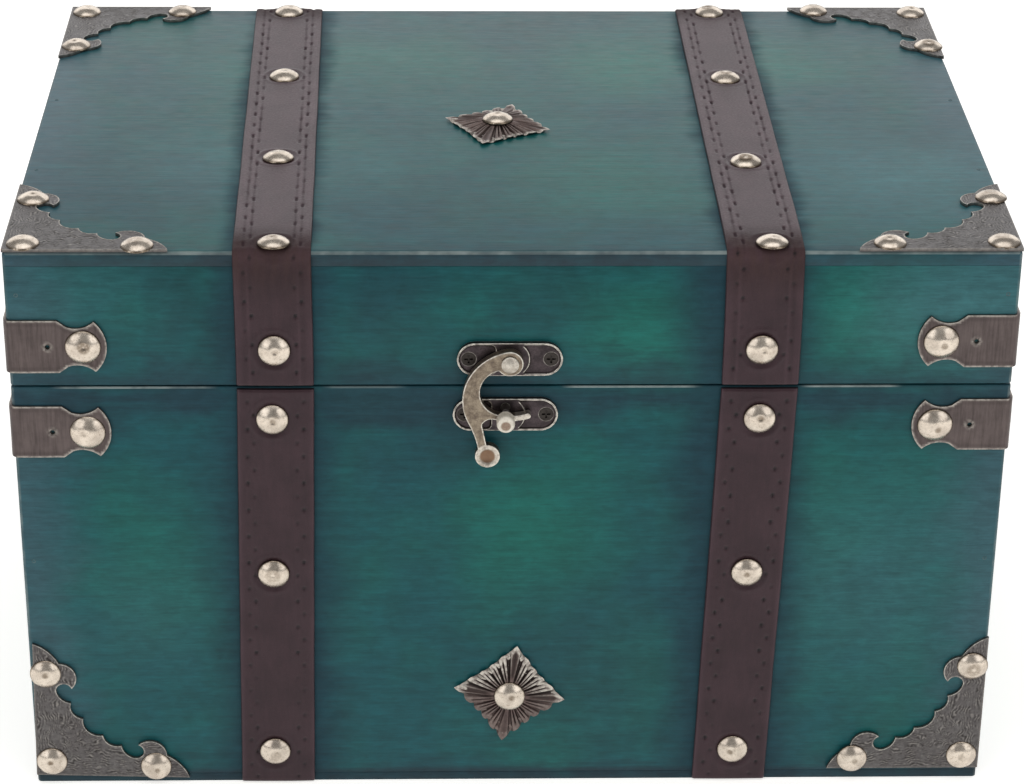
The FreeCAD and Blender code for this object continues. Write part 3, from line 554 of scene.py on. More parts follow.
def strap_leather():
    """Dark brown leather: fine pebbled grain, dark thread, needle holes painted dark as shade, edges worn a
    little paler, the runs over the top painted paler as sheen, and a crease colour by the folds that is
    partly painted shade.
    """
    f = Finish("strap_leather", **{"Specular IOR Level": 0.36, "Specular Tint": HIDE_GLINT})
    place = f.place()
    pebbles = f.cells(place, 2.6, "SMOOTH_F1")
    cloud = f.grain(place, 0.09, 4.0, 0.6)
    speck = f.grain(place, 1.5, 3.0, 0.7)
    streak = f.grain(f.stretched(place, (0.6, 0.12, 0.12)), 1.0, 5.0, 0.7)
    creases_and_shade = f.attribute("creased")
    thread = f.attribute("thread")
    hide = f.mix(f.spread(cloud), HIDE_DARK, HIDE_BROWN)
    hide = f.mix(1.0, hide, f.spread(streak, 0.86, 1.14), "MULTIPLY")
    hide = f.mix(f.between(speck, 0.55, 0.8, 0.0, 0.5), hide, HIDE_SPECK)
    # Paler on worn edges and ridges, and painted sheen on the runs over the top
    hide = f.mix(f.times(f.attribute("rubbed"), f.spread(cloud, 0.75, 1.2)), hide, HIDE_RUBBED_AND_LIT)
    # Crease colour by the folds, partly painted shade where the strap bends
    hide = f.mix(f.times(creases_and_shade, f.spread(streak, 0.2, 0.7)), hide, HIDE_CREASED_AND_SHADED)
    hide = f.mix(thread, hide, THREAD_DARK)
    # Painted shade in the needle holes
    hide = f.mix(f.attribute("needle"), hide, NEEDLE_SHADE)
    relief = f.plus(f.plus(f.times(pebbles, 0.7), f.times(speck, 0.5)), f.times(streak, 0.4))
    rough = f.plus(f.between(speck, 0.3, 0.8, 0.36, 0.5), f.times(thread, 0.4))
    rough = f.plus(rough, f.times(creases_and_shade, 0.32))
    return f.set(Base_Color=hide, Normal=f.bumped(relief, 0.25, 0.2 * MM), Roughness=rough)


def stud_metal():
    """Pale cream nickel, polished by wear, with brown left in the dents."""
    f = Finish("stud_metal", Metallic=1.0)
    place = f.place()
    cloud = f.grain(place, 0.3, 3.0, 0.6)
    speck = f.grain(place, 1.6, 4.0, 0.65)
    metal = f.mix(f.between(cloud, 0.35, 0.7), STUD_BRIGHT, STUD_DULL)
    metal = f.mix(f.between(speck, 0.53, 0.74, 0.0, 0.62), metal, STUD_SPECK)
    tarnish = f.times(f.attribute("dent"), f.between(speck, 0.3, 0.5, 0.45, 1.0))
    metal = f.mix(tarnish, metal, STUD_TARNISH)
    return f.set(Base_Color=metal, Normal=f.bumped(speck, 0.05, 0.3 * MM),
                 Roughness=f.between(speck, 0.3, 0.75, 0.18, 0.34))


def pressed_metal(name, body, shade, brush, contrast):
    """Dark antique sheet: pale worn rims and ridges, dark grooves, faint brush lines."""
    f = Finish(name, Metallic=0.9)
    place = f.place()
    cloud = f.grain(place, 0.16, 4.0, 0.65)
    brushed = f.grain(f.stretched(place, brush), 1.3, 4.0, 0.65)
    breaks = f.grain(place, 0.9, 3.0, 0.6)
    metal = f.mix(f.between(cloud, 0.3, 0.72), shade, body)
    metal = f.mix(1.0, metal, f.between(brushed, 0.35, 0.75, 1.12, 0.74), "MULTIPLY")
    metal = f.mix(f.times(f.attribute("groove"), contrast), metal, SHEET_GROOVE)
    worn = f.times(f.attribute("worn"), f.between(breaks, 0.35, 0.6, 0.35, 1.0))
    metal = f.mix(worn, metal, SHEET_WORN)
    return f.set(Base_Color=metal, Normal=f.bumped(brushed, 0.12, 0.2 * MM),
                 Roughness=f.spread(cloud, 0.34, 0.48))


def latch_bronze(name, body, shade, metallic):
    """Antique bronze: edges worn pale, dirt and painted shade in the corners and on the catch post's neck,
    warm brown left in the hollows.
    """
    f = Finish(name, Metallic=metallic)
    place = f.place()
    cloud = f.grain(place, 0.5, 4.0, 0.65)
    speck = f.grain(place, 3.0, 4.0, 0.7)
    breaks = f.grain(place, 0.8, 3.0, 0.6)
    pitted = tuple(0.35 * part for part in shade[:3]) + (1,)
    metal = f.mix(f.spread(cloud), body, shade)
    metal = f.mix(f.between(speck, 0.5, 0.72, 0.0, 0.6), metal, pitted)
    # Dirt and painted shade in the hollows; painted shadow on the catch post's neck
    metal = f.mix(f.attribute("groove"), metal, BRONZE_DIRT_AND_SHADE)
    brown = f.times(f.attribute("patina"), f.between(speck, 0.4, 0.65, 1.0, 0.75))
    metal = f.mix(brown, metal, BRONZE_PATINA)
    worn = f.times(f.attribute("worn"), f.between(breaks, 0.35, 0.6, 0.4, 1.0))
    metal = f.mix(worn, metal, BRONZE_WORN)
    return f.set(Base_Color=metal, Normal=f.bumped(speck, 0.16, 0.2 * MM),
                 Roughness=f.between(speck, 0.3, 0.75, 0.28, 0.48))


def dark_steel(name, tone):
    """Browned steel of hinges and screws."""
    f = Finish(name, Metallic=0.9)
    place = f.place()
    cloud = f.grain(place, 0.5, 4.0, 0.65)
    speck = f.grain(place, 2.6, 4.0, 0.7)
    brown = (tone, 0.84 * tone, 0.76 * tone, 1)
    bright = (2 * tone, 1.75 * tone, 1.6 * tone, 1)
    dirt = (0.4 * tone, 0.3 * tone, 0.25 * tone, 1)
    metal = f.mix(f.spread(cloud), brown, bright)
    metal = f.mix(f.between(speck, 0.5, 0.8, 0.0, 0.5), metal, dirt)
    return f.set(Base_Color=metal, Normal=f.bumped(speck, 0.15, 0.3 * MM),
                 Roughness=f.spread(cloud, 0.36, 0.54))


def stained_brads():
    """Brad heads set flush and stained over with the board, rubbed a little paler than it."""
    f = Finish("stained_brads", **{"Specular IOR Level": 0.3})
    cloud = f.grain(f.place(), 0.8, 3.0, 0.6)
    head = f.mix(f.spread(cloud), BRAD_STAINED, BRAD_RUBBED)
    return f.set(Base_Color=head, Normal=f.bumped(cloud, 0.1, 0.3 * MM), Roughness=f.spread(cloud, 0.4, 0.55))


# Boards

def upright(edge):
    way = edge.verts[0].co - edge.verts[1].co
    return abs(way.z) > 0.9 * way.length


def middle_of(edge):
    return (edge.verts[0].co + edge.verts[1].co) / 2


def sharp(edge):
    return edge.calc_face_angle(0) > math.radians(60)


def board(node, rounded, material):
    """A planed board in its node's box, its outer edges rounded, its rim eased and the rest left crisp."""
    low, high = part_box(node)
    bpy.ops.object.select_all(action="DESELECT")
    bpy.ops.mesh.primitive_cube_add(size=1, location=(low + high) / 2, scale=high - low)
    piece = started(node.replace("_panel", "_board"))
    bpy.ops.object.transform_apply(location=True, rotation=True, scale=True)
    editing(piece, True)
    if pick(piece, "EDGE", rounded):
        bpy.ops.mesh.bevel(offset=EDGE_R, segments=5, affect="EDGES")
    if pick(piece, "EDGE", lambda edge: sharp(edge) and abs(middle_of(edge).z - SEAM) < MM):
        bpy.ops.mesh.bevel(offset=RIM_ARRIS, segments=3, affect="EDGES")
    if pick(piece, "EDGE", sharp):
        bpy.ops.mesh.bevel(offset=ARRIS, segments=2, affect="EDGES")
    editing(piece, False)
    smooth(piece, 50)
    return stands_for(piece, node, material)


def boards():
    """The ten boards. The stain's dark beside the right strap, partly glaze and partly painted shadow, lies a
    little to its left.
    """
    half_w, half_d, seam = TOP.x / MM, TOP.y / MM, SEAM / MM
    straps = [(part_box(f"lid_strap_{side}")[0].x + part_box(f"lid_strap_{side}")[1].x) / 2 / MM
              for side in ("left", "right")]
    levels = [(seam - 4.0, 12.0, 0.85), (seam, 12.0, 0.7), (0.0, 9.0, 0.5), (TOP.z / MM - 4.0, 10.0, 0.15)]
    # Darker stain beside the straps: partly glaze, partly painted shadow
    by_straps = [(straps[0], 25.0, 0.88), (straps[1] - 4.0, 25.0, 0.88)]
    top_by_straps = [(at, 15.0, 0.9) for at in straps]
    foot = (4.5, 2.5)
    long_wood = stained_wood("long_board_stain", 0, 2, (-half_w, half_w), levels, by_straps,
                             (GLOWS, SHADES, PALE_SPOTS), SIDE_TONES, foot, SIDE_SHINE)
    side_wood = stained_wood("side_board_stain", 1, 2, (-half_d, half_d), levels, [], ((), (), ()),
                             SIDE_TONES, foot, SIDE_SHINE)
    top_levels = [(at, 8.0, 0.4) for at in (-half_d, half_d)]
    top_edges = (TOP.z / MM - 0.1, TOP.z / MM - 0.5)
    top_wood = stained_wood("top_board_stain", 0, 1, (-half_w, half_w), top_levels, top_by_straps,
                            (TOP_GLOWS, TOP_SHADES, TOP_PALE_SPOTS), TOP_TONES, top_edges, TOP_SHINE)

    def outer_upright(edge):
        return upright(edge) and abs(edge.verts[0].co.y) > TOP.y - WALL / 2

    def top_edge(edge):
        return upright(edge) or middle_of(edge).z > TOP.z - EDGE_R

    def no_edge(edge):
        return False

    for part in ("base", "lid"):
        for place in ("front", "back"):
            board(f"{part}_{place}_panel", outer_upright, long_wood)
        for place in ("left", "right"):
            board(f"{part}_{place}_panel", no_edge, side_wood)
    board("lid_top_panel", top_edge, top_wood)
    board("base_bottom_panel", upright, long_wood)


def brads():
    """The heads of the brads: flat buttons a hair proud of the boards, each with the dent of the punch."""
    finish = stained_brads()
    bpy.ops.object.select_all(action="DESELECT")
    bpy.ops.mesh.primitive_cylinder_add(vertices=BRAD_SIDES, radius=1.0, depth=2.0, location=(0, 0, -1.0))
    master = started("brad_head")
    bpy.ops.object.transform_apply(location=True, rotation=True, scale=True)
    editing(master, True)
    pick(master, "FACE", lambda face: face.normal.z > 0.9)
    bpy.ops.mesh.inset(thickness=BRAD_EASE)
    bpy.ops.transform.translate(value=(0, 0, BRAD_CROWN))
    bpy.ops.mesh.inset(thickness=BRAD_FLAT)
    bpy.ops.mesh.inset(thickness=BRAD_PUNCH)
    bpy.ops.transform.translate(value=(0, 0, -BRAD_PUNCH))
    editing(master, False)
    for node in [n for n in nodes if n.endswith("_brads")]:
        group = []
        for low, high in islands(node):
            size = high - low
            axis = max(range(3), key=lambda i: size[i])
            out = Vector((0, 0, 0))
            out[axis] = 1.0 if low[axis] + high[axis] > 2 * CENTRE[axis] else -1.0
            head = (low + high) / 2
            head[axis] = high[axis] if out[axis] > 0 else low[axis] + (BRAD_PROUD if axis == 2 else 0.0)
            copy = copied(master, "brad_copy")
            turn = out.to_track_quat("Z", "Y").to_matrix().to_4x4()
            copy.data.transform(Matrix.Translation(head) @ turn @ Matrix.Scale(min(size) / 2, 4))
            group.append(copy)
        piece = joined(group, node.replace("_brads", "_brad_heads"))
        smooth(piece, 40)
        stands_for(piece, node, finish)
    bpy.data.objects.remove(master)


# Straps

def across_places():
    """Where the strap's columns lie across its top, closer together at its edges and stitch rows."""
    places = [10.0, 9.9, 9.72, 9.4, 8.9, 8.35]
    for row in STITCH_ROWS:
        places += [row / MM + step for step in (0.55, 0.3, 0.15, 0.0, -0.15, -0.3, -0.55, -0.85)]
    places += [4.1, 3.2, 2.2, 1.1]
    half = [p * MM for p in places]
    return [-p for p in half] + [0.0] + half[::-1]


def along_places(length):
    """Where its rows lie along it."""
    count = round(length / STRAP_ROW)
    return [length * row / count for row in range(count + 1)]


def stitch(off, along, sewn):
    """How deep in a needle hole and in a thread's slot a place is; sewn is 1 where the thread shows."""
    hole = bump(math.hypot(off, along), HOLE_R)
    slot = bump(math.hypot(off - STITCH_SLANT * along, max(abs(along) - STITCH_HALF, 0.0)), SLOT_R)
    return hole * (1 - sewn), slot * sewn


def leather_height(u, s, length, folds, shift, seed):
    """The leather's height over the wood, how deep in a needle hole it is, and how much on a thread."""
    edge = STRAP_HALF - abs(u)
    end = min(s, length - s)
    height = STRAP_T
    if edge < STRAP_EDGE_R:
        height -= STRAP_EDGE_R * (1 - math.sqrt(max(1 - (1 - edge / STRAP_EDGE_R) ** 2, 0)))
    if end < STRAP_EDGE_R:
        height -= 0.5 * STRAP_EDGE_R * (1 - end / STRAP_EDGE_R) ** 2
    height += STRAP_CROWN * fade(8 * MM, 3 * MM, abs(u))
    height += STRAP_RIPPLE * noise.noise(Vector((u * 120, s * 60, seed)))
    sewn = 0.0
    if folds:
        after = fade(folds[0] - 2 * MM, folds[0] + 4 * MM, s)
        before = fade(folds[1] + 2 * MM, folds[1] - 4 * MM, s)
        sewn = 0.1 + 0.9 * after * before
    for fold in folds:
        height -= FOLD_DRAW * max(1 - abs(s - fold) / FOLD_DRAW_REACH, 0.0) ** 2
        near = bump(s - fold, FOLD_REACH)
        if near > 0.02:
            height += near * FOLD_WRINKLE * noise.noise(Vector((u * 420, s * 300, seed)))
            height += near * FOLD_CRINKLE * noise.noise(Vector((u * 900, s * 260, seed + 5)))
    needle = 0.0
    thread = 0.0
    for number, row in enumerate(STITCH_ROWS):
        off = abs(u) - row
        if abs(off) > 1.3 * MM:
            continue
        phase = (s + shift + number * STITCH_PITCH / 2) / STITCH_PITCH
        pulled = 0.75 + 0.6 * noise.noise(Vector((round(phase) * 0.7, number, seed + 0.5)))
        whole = fade(1.0 * MM, 2.2 * MM, end) * pulled
        hole, slot = stitch(off, (phase - round(phase)) * STITCH_PITCH, sewn)
        shown = fade(-0.4, 0.5, noise.noise(Vector((s * 45, number + 3, seed))))
        line = 0.45 * sewn * bump(off, THREAD_R) * shown
        height -= max(whole * HOLE_DEPTH * hole, whole * SLOT_DEPTH * slot, 0.4 * SLOT_DEPTH * line)
        needle = max(needle, whole * fade(0.15, 0.65, hole))
        thread = max(thread, 0.9 * whole * fade(0.2, 0.8, slot), line)
    return max(height, STRAP_LEAST), needle, thread


def pressed_ring(spot, out, studs):
    """Leather sunk under a stud's edge, with a low welt round it."""
    for stud in studs:
        ring = (spot - stud).length - STUD_R
        if ring < 5 * MM:
            dip = STUD_DIP * bump(max(ring, 0), 0.8 * MM) - STUD_WELT * bump(ring - 1.5 * MM, 0.6 * MM)
            spot = spot - out * dip
    return spot


def strap(node, path, length, folds, shift, studs, seed, material):
    """A strip of leather laid along a path: path gives a place, an across and an outward direction."""
    columns = across_places()
    under = [STRAP_HALF, 0.0, -STRAP_HALF]
    rows = along_places(length)
    per_row = len(columns) + len(under)
    bpy.ops.object.select_all(action="DESELECT")
    bpy.ops.mesh.primitive_grid_add(x_subdivisions=per_row - 1, y_subdivisions=len(rows) - 1, size=1)
    piece = started(node.replace("_strap", "_leather_strap"))
    vertices = piece.data.vertices
    order = sorted(range(len(vertices)), key=lambda i: (round(vertices[i].co.y, 5), vertices[i].co.x))
    needle = [0.0] * len(order)
    thread = [0.0] * len(order)
    rubbed = [0.0] * len(order)
    creased = [0.0] * len(order)
    for r, s in enumerate(rows):
        at, across, out = path(s)
        sway = noise.noise(Vector((s * 40, seed, 0.0))) * STRAP_SWAY
        near = [stud for stud in studs if (stud - at).length < 3 * STRAP_HALF]
        for c in range(per_row):
            index = order[r * per_row + c]
            if c < len(columns):
                u = columns[c]
                height, needle[index], thread[index] = leather_height(u, s, length, folds, shift, seed)
                spot = pressed_ring(at + across * (u + sway) + out * height, out, near)
                ridge = bump(abs(u) - RIDGES[0], 0.4 * MM) + bump(abs(u) - RIDGES[1], 0.5 * MM)
                from_fold = min(fade(1.0, 17.0, abs(s - fold) / MM) for fold in folds or (0.0,))
                # The runs over the top are painted paler as sheen, fading towards the folds
                flat = fade(0.6, 1.0, out.z) * from_fold
                bent = 0.22 * sum(bump(s - fold, 3 * MM) for fold in folds)
                # Crease colour by the folds, partly painted shade where the strap bends
                creased[index] = sum(bump(s - fold, FOLD_DRAW_REACH) for fold in folds)
                # Worn edges, ridges and folds, and painted sheen on the runs over the top
                rubbed[index] = max(0.13 * fade(8.4 * MM, 9.9 * MM, abs(u)), (0.2 + 0.12 * ridge) * flat,
                                     0.1 * ridge if folds else 0.0, bent)
            else:
                spot = at + across * (under[c - len(columns)] + sway)
            vertices[index].co = spot
    painted(piece, needle=needle, thread=thread, rubbed=rubbed, creased=creased)
    editing(piece, True)
    bpy.ops.mesh.select_all(action="SELECT")
    bpy.ops.mesh.remove_doubles(threshold=0.01 * MM)
    pick(piece, "EDGE", lambda edge: edge.is_boundary)
    bpy.ops.mesh.fill_holes(sides=0)
    bpy.ops.mesh.select_all(action="SELECT")
    bpy.ops.mesh.normals_make_consistent(inside=False)
    editing(piece, False)
    smooth(piece, 50)
    return stands_for(piece, node, material)


def up_the_base(foot, head, out):
    length = (head - foot).length

    def path(s):
        return foot.lerp(head, s / length), Vector((-out.y, 0, 0)), out
    return path, length


def over_the_lid(front_x, back_x, low_z):
    """Up the front, round the top's edge, back over the top, round its rear edge and down."""
    turn_y = TOP.y - EDGE_R
    turn_z = TOP.z - EDGE_R
    rise = turn_z - low_z
    arc = EDGE_R * math.pi / 2
    run = 2 * turn_y
    across = Vector((1, 0, 0))

    def path(s):
        if s < rise:
            return Vector((front_x, -TOP.y, low_z + s)), across, Vector((0, -1, 0))
        s -= rise
        if s < arc:
            out = Vector((0, -math.cos(s / EDGE_R), math.sin(s / EDGE_R)))
            return Vector((front_x, -turn_y, turn_z)) + out * EDGE_R, across, out
        s -= arc
        if s < run:
            x = front_x + (back_x - front_x) * s / run
            return Vector((x, s - turn_y, TOP.z)), across, Vector((0, 0, 1))
        s -= run
        if s < arc:
            out = Vector((0, math.sin(s / EDGE_R), math.cos(s / EDGE_R)))
            return Vector((back_x, turn_y, turn_z)) + out * EDGE_R, across, out
        s -= arc
        return Vector((back_x, TOP.y, turn_z - s)), across, Vector((0, 1, 0))
    folds = (rise + arc / 2, rise + arc + run + arc / 2)
    return path, 2 * rise + 2 * arc + run, folds


def straps():
    leather = strap_leather()
    lid_studs = [at for at, out in stud_places("lid_strap_studs")]
    base_studs = [at for at, out in stud_places("base_strap_studs")]
    for seed, side in enumerate(("left", "right")):
        low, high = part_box(f"lid_strap_{side}")
        path, length, folds = over_the_lid(high.x - STRAP_HALF, low.x + STRAP_HALF, low.z)
        strap(f"lid_strap_{side}", path, length, folds, 3.1 * MM * seed, lid_studs, seed, leather)
        for place, out in (("front", Vector((0, -1, 0))), ("back", Vector((0, 1, 0)))):
            node = f"base_strap_{place}_{side}"
            low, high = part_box(node)
            foot = Vector((low.x + STRAP_HALF, out.y * TOP.y, low.z))
            head = Vector((high.x - STRAP_HALF, out.y * TOP.y, high.z))
            path, length = up_the_base(foot, head, out)
            strap(node, path, length, (), 2.4 * MM, base_studs, seed + 3 * (2 + out.y), leather)


# Dome studs

def islands(node):
    """The separate solids of a node, each as the low and high corners of its box."""
    mesh = bmesh.new()
    mesh.from_mesh(nodes[node].data)
    bmesh.ops.remove_doubles(mesh, verts=mesh.verts, dist=0.001 * MM)
    seen = set()
    found = []
    for start in mesh.verts:
        if start in seen:
            continue
        group = [start]
        seen.add(start)
        for vert in group:
            for edge in vert.link_edges:
                other = edge.other_vert(vert)
                if other not in seen:
                    seen.add(other)
                    group.append(other)
        places = [v.co.copy() for v in group]
        found.append((Vector(map(min, zip(*places))), Vector(map(max, zip(*places)))))
    mesh.free()
    return found


def stud_places(node):
    """Seat and outward direction of each stud in a node."""
    places = []
    for low, high in islands(node):
        size = high - low
        axis = min(range(3), key=lambda i: size[i])
        middle = (low + high) / 2
        out = Vector((0, 0, 0))
        out[axis] = 1.0 if middle[axis] > CENTRE[axis] else -1.0
        tip = high[axis] if out[axis] > 0 else low[axis]
        middle[axis] = tip - out[axis] * STUD_RISE
        places.append((middle, out))
    return places


def stud_dome():
    """One smooth stud at the origin: a cap cut from a sphere, with an upright lip and a flat underside."""
    rise = STUD_RISE - STUD_LIP
    sphere = (STUD_R ** 2 + rise ** 2) / (2 * rise)
    bpy.ops.object.select_all(action="DESELECT")
    bpy.ops.mesh.primitive_uv_sphere_add(segments=48, ring_count=56, radius=sphere,
                                         location=(0, 0, STUD_RISE - sphere))
    piece = started("stud_dome")
    bpy.ops.object.transform_apply(location=True, rotation=True, scale=True)
    editing(piece, True)
    bpy.ops.mesh.select_all(action="SELECT")
    bpy.ops.mesh.bisect(plane_co=(0, 0, STUD_LIP), plane_no=(0, 0, 1), clear_inner=True)
    pick(piece, "EDGE", lambda edge: edge.is_boundary)
    bpy.ops.mesh.extrude_region_move(TRANSFORM_OT_translate={"value": (0, 0, -STUD_LIP)})
    bpy.ops.mesh.edge_face_add()
    pick(piece, "EDGE", lambda edge: edge.calc_face_angle(0) > math.radians(25)
         and middle_of(edge).z > STUD_LIP / 2)
    bpy.ops.mesh.bevel(offset=STUD_EASE, segments=3, affect="EDGES")
    editing(piece, False)
    return piece


def hammered(piece, chance):
    """Dents one stud's dome: a flat left by the hammer with a brown dimple or ring, and small knocks."""
    flat_at = Vector((chance.uniform(-0.7, 0.7), chance.uniform(-0.7, 0.7))) * MM
    flat_r = chance.uniform(1.1, 1.9) * MM
    flat = chance.uniform(0.05, 0.2) * MM
    dimple = chance.choice((0.06, 0.12, 0.18, 0.24)) * MM
    ring = chance.choice((0.0, 0.0, 0.8, 1.2)) * MM
    stain = chance.choice((0.35, 0.5, 0.7, 0.85))
    knocks = [(Vector((chance.uniform(-3.2, 3.2), chance.uniform(-3.2, 3.2))) * MM,
               chance.uniform(0.5, 1.0) * MM, chance.uniform(0.01, 0.045) * MM) for _ in range(STUD_KNOCKS)]
    seed = chance.uniform(0, 90)
    dents = []
    for vert in piece.data.vertices:
        flat_place = Vector((vert.co.x, vert.co.y))
        if vert.co.z <= STUD_LIP:
            dents.append(0.8)
            continue
        gap = (flat_place - flat_at).length
        sink = flat * bump(gap, flat_r) + dimple * bump(gap, 0.75 * MM)
        for at, radius, depth in knocks:
            sink += depth * bump((flat_place - at).length, radius)
        ripple = noise.noise(Vector((vert.co.x, vert.co.y, 0)) * 500 + Vector((seed, 0, 0)))
        sink += 0.015 * MM * ripple
        shade = stain * fade(0.25, 0.9, bump(gap - ring, 1.0 * MM) + 0.3 * ripple)
        dents.append(max(shade, 0.8 * fade(0.9, 1.0, flat_place.length / STUD_R)))
        vert.co.z -= sink
    painted(piece, dent=dents)


def studs():
    metal = stud_metal()
    dome = stud_dome()
    chance = random.Random(STUD_SEED)
    for node in [n for n in nodes if n.endswith(("_studs", "_stud"))]:
        group = []
        for seat, out in stud_places(node):
            copy = copied(dome, "stud_copy")
            hammered(copy, chance)
            lean = Matrix.Rotation(chance.uniform(-STUD_LEAN, STUD_LEAN), 4, "X")
            turn = out.to_track_quat("Z", "Y").to_matrix().to_4x4()
            spin = Matrix.Rotation(chance.uniform(0, 2 * math.pi), 4, "Z")
            growth = Matrix.Scale(WRAP_STUD_GROWTH if "_wrap_" in node else 1.0, 4)
            copy.data.transform(Matrix.Translation(seat) @ turn @ lean @ spin @ growth)
            group.append(copy)
        piece = joined(group, node.replace("stud", "dome_stud"))
        smooth(piece, 40)
        stands_for(piece, node, metal)
    bpy.data.objects.remove(dome)


# Pressed plates

def merged_copy(node, name):
    """A copy of a node's mesh as one closed shell of flat faces."""
    piece = copied(nodes[node], name)
    only(piece)
    if piece.data.has_custom_normals:
        bpy.ops.mesh.customdata_custom_splitnormals_clear()
    editing(piece, True)
    bpy.ops.mesh.select_all(action="SELECT")
    bpy.ops.mesh.remove_doubles(threshold=0.001 * MM)
    bpy.ops.mesh.dissolve_limited(angle_limit=math.radians(0.5))
    editing(piece, False)
    return piece


def diced(piece, cell, axes):
    """Cuts a piece along evenly spaced planes, so that its faces can take relief."""
    places = [v.co.copy() for v in piece.data.vertices]
    editing(piece, True)
    for axis in axes:
        low = min(p[axis] for p in places)
        high = max(p[axis] for p in places)
        count = max(int((high - low) / cell), 1)
        normal = Vector((0, 0, 0))
        normal[axis] = 1.0
        for step in range(1, count):
            bpy.ops.mesh.select_all(action="SELECT")
            bpy.ops.mesh.bisect(plane_co=normal * (low + (high - low) * step / count), plane_no=normal)
    editing(piece, False)


def edge_points(piece, keep):
    """Tree of the places on a piece's sharp edges that a test keeps."""
    mesh = bmesh.new()
    mesh.from_mesh(piece.data)
    places = set()
    for edge in mesh.edges:
        if edge.calc_face_angle(0) > math.radians(50):
            for spot in (edge.verts[0].co, middle_of(edge), edge.verts[1].co):
                if keep(spot):
                    places.add(tuple(spot))
    mesh.free()
    tree = KDTree(len(places))
    for index, place in enumerate(sorted(places)):
        tree.insert(place, index)
    tree.balance()
    return tree


def engraving(u, v):
    """The engraving at a place in millimetres, from -1 to 1: wavy lines along both legs, with curls."""
    drift = (noise.noise(Vector((u * 0.2, v * 0.2, 3.0))) * 1.4
             + noise.noise(Vector((u * 0.7, v * 0.7, 9.0))) * 0.5)
    corner = fade(16.0, 3.0, abs(u - v)) * fade(3.0, 9.0, min(u, v))
    curl = noise.noise(Vector((u * 0.42, v * 0.42, 21.0))) * 2.6
    line = math.sin(2 * math.pi * (min(u, v) + drift + corner * curl) / PLATE_LINE)
    weight = 0.55 + 0.9 * noise.noise(Vector((u * 0.45, v * 0.45, 40.0)))
    grit = noise.noise(Vector((u * 1.7, v * 1.7, 60.0)))
    return max(min(line * weight + 0.5 * grit, 1.0), -1.0)


def engraved_plate():
    """One corner plate with its corner at the origin and its legs along x and y."""
    node = "top_corner_plate_front_left"
    low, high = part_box(node)
    piece = merged_copy(node, "engraved_plate")
    piece.data.transform(Matrix.Translation(-low))
    thickness = high.z - low.z
    diced(piece, PLATE_CELL, (0, 1))
    rim = edge_points(piece, lambda p: p.z > thickness / 2)
    groove = []
    worn = []
    lift = []
    for vert in piece.data.vertices:
        if vert.co.z < thickness / 2:
            groove.append(0.3)
            worn.append(0.0)
            lift.append(0.0)
            continue
        gap = rim.find(vert.co)[2]
        figure = engraving(vert.co.x / MM, vert.co.y / MM) * fade(PLATE_RIM, 2.5 * PLATE_RIM, gap)
        inner = 0.75 if min(vert.co.x, vert.co.y) > 1.5 * MM else 0.3
        lift.append(PLATE_RELIEF * figure + PLATE_RIM_RISE * fade(PLATE_RIM, 0.4 * PLATE_RIM, gap))
        groove.append(fade(0.0, 0.9, -figure))
        worn.append(max(inner * (1 - fade(0.5 * PLATE_RIM, PLATE_RIM, gap)), 0.26 * fade(0.3, 0.9, figure)))
    for vert, rise in zip(piece.data.vertices, lift):
        vert.co.z += rise
    painted(piece, groove=groove, worn=worn)
    smooth(piece, 55)
    return piece


def corner_places():
    """Corner, leg directions and tilt of each plate."""
    right, back, up = Vector((1, 0, 0)), Vector((0, 1, 0)), Vector((0, 0, 1))
    places = {
        "top_corner_plate_front_left": (Vector((-TOP.x, -TOP.y, TOP.z)), right, back, 0.0),
        "top_corner_plate_front_right": (Vector((TOP.x, -TOP.y, TOP.z)), back, -right, 0.0),
        "top_corner_plate_back_right": (Vector((TOP.x, TOP.y, TOP.z)), -right, -back, 0.0),
        "top_corner_plate_back_left": (Vector((-TOP.x, TOP.y, TOP.z)), -back, right, 0.0),
    }
    for side, legs in (("left", (right, up)), ("right", (up, -right))):
        corner = Vector((-TOP.x if side == "left" else TOP.x, -TOP.y, FRONT_PLATE_LIFT[side]))
        places[f"front_corner_plate_{side}"] = (corner, *legs, FRONT_PLATE_TILT[side])
    return places


def corner_plates():
    metal = pressed_metal("plate_metal", *PLATE_METAL, EVEN_BRUSH, 0.8)
    master = engraved_plate()
    for node, (corner, first, second, tilt) in corner_places().items():
        piece = copied(master, node.replace("_plate", "_engraved_plate"))
        turn = Matrix((first, second, first.cross(second))).transposed().to_4x4()
        piece.data.transform(Matrix.Translation(corner) @ turn @ Matrix.Rotation(tilt, 4, "Z"))
        stands_for(piece, node, metal)
    bpy.data.objects.remove(master)


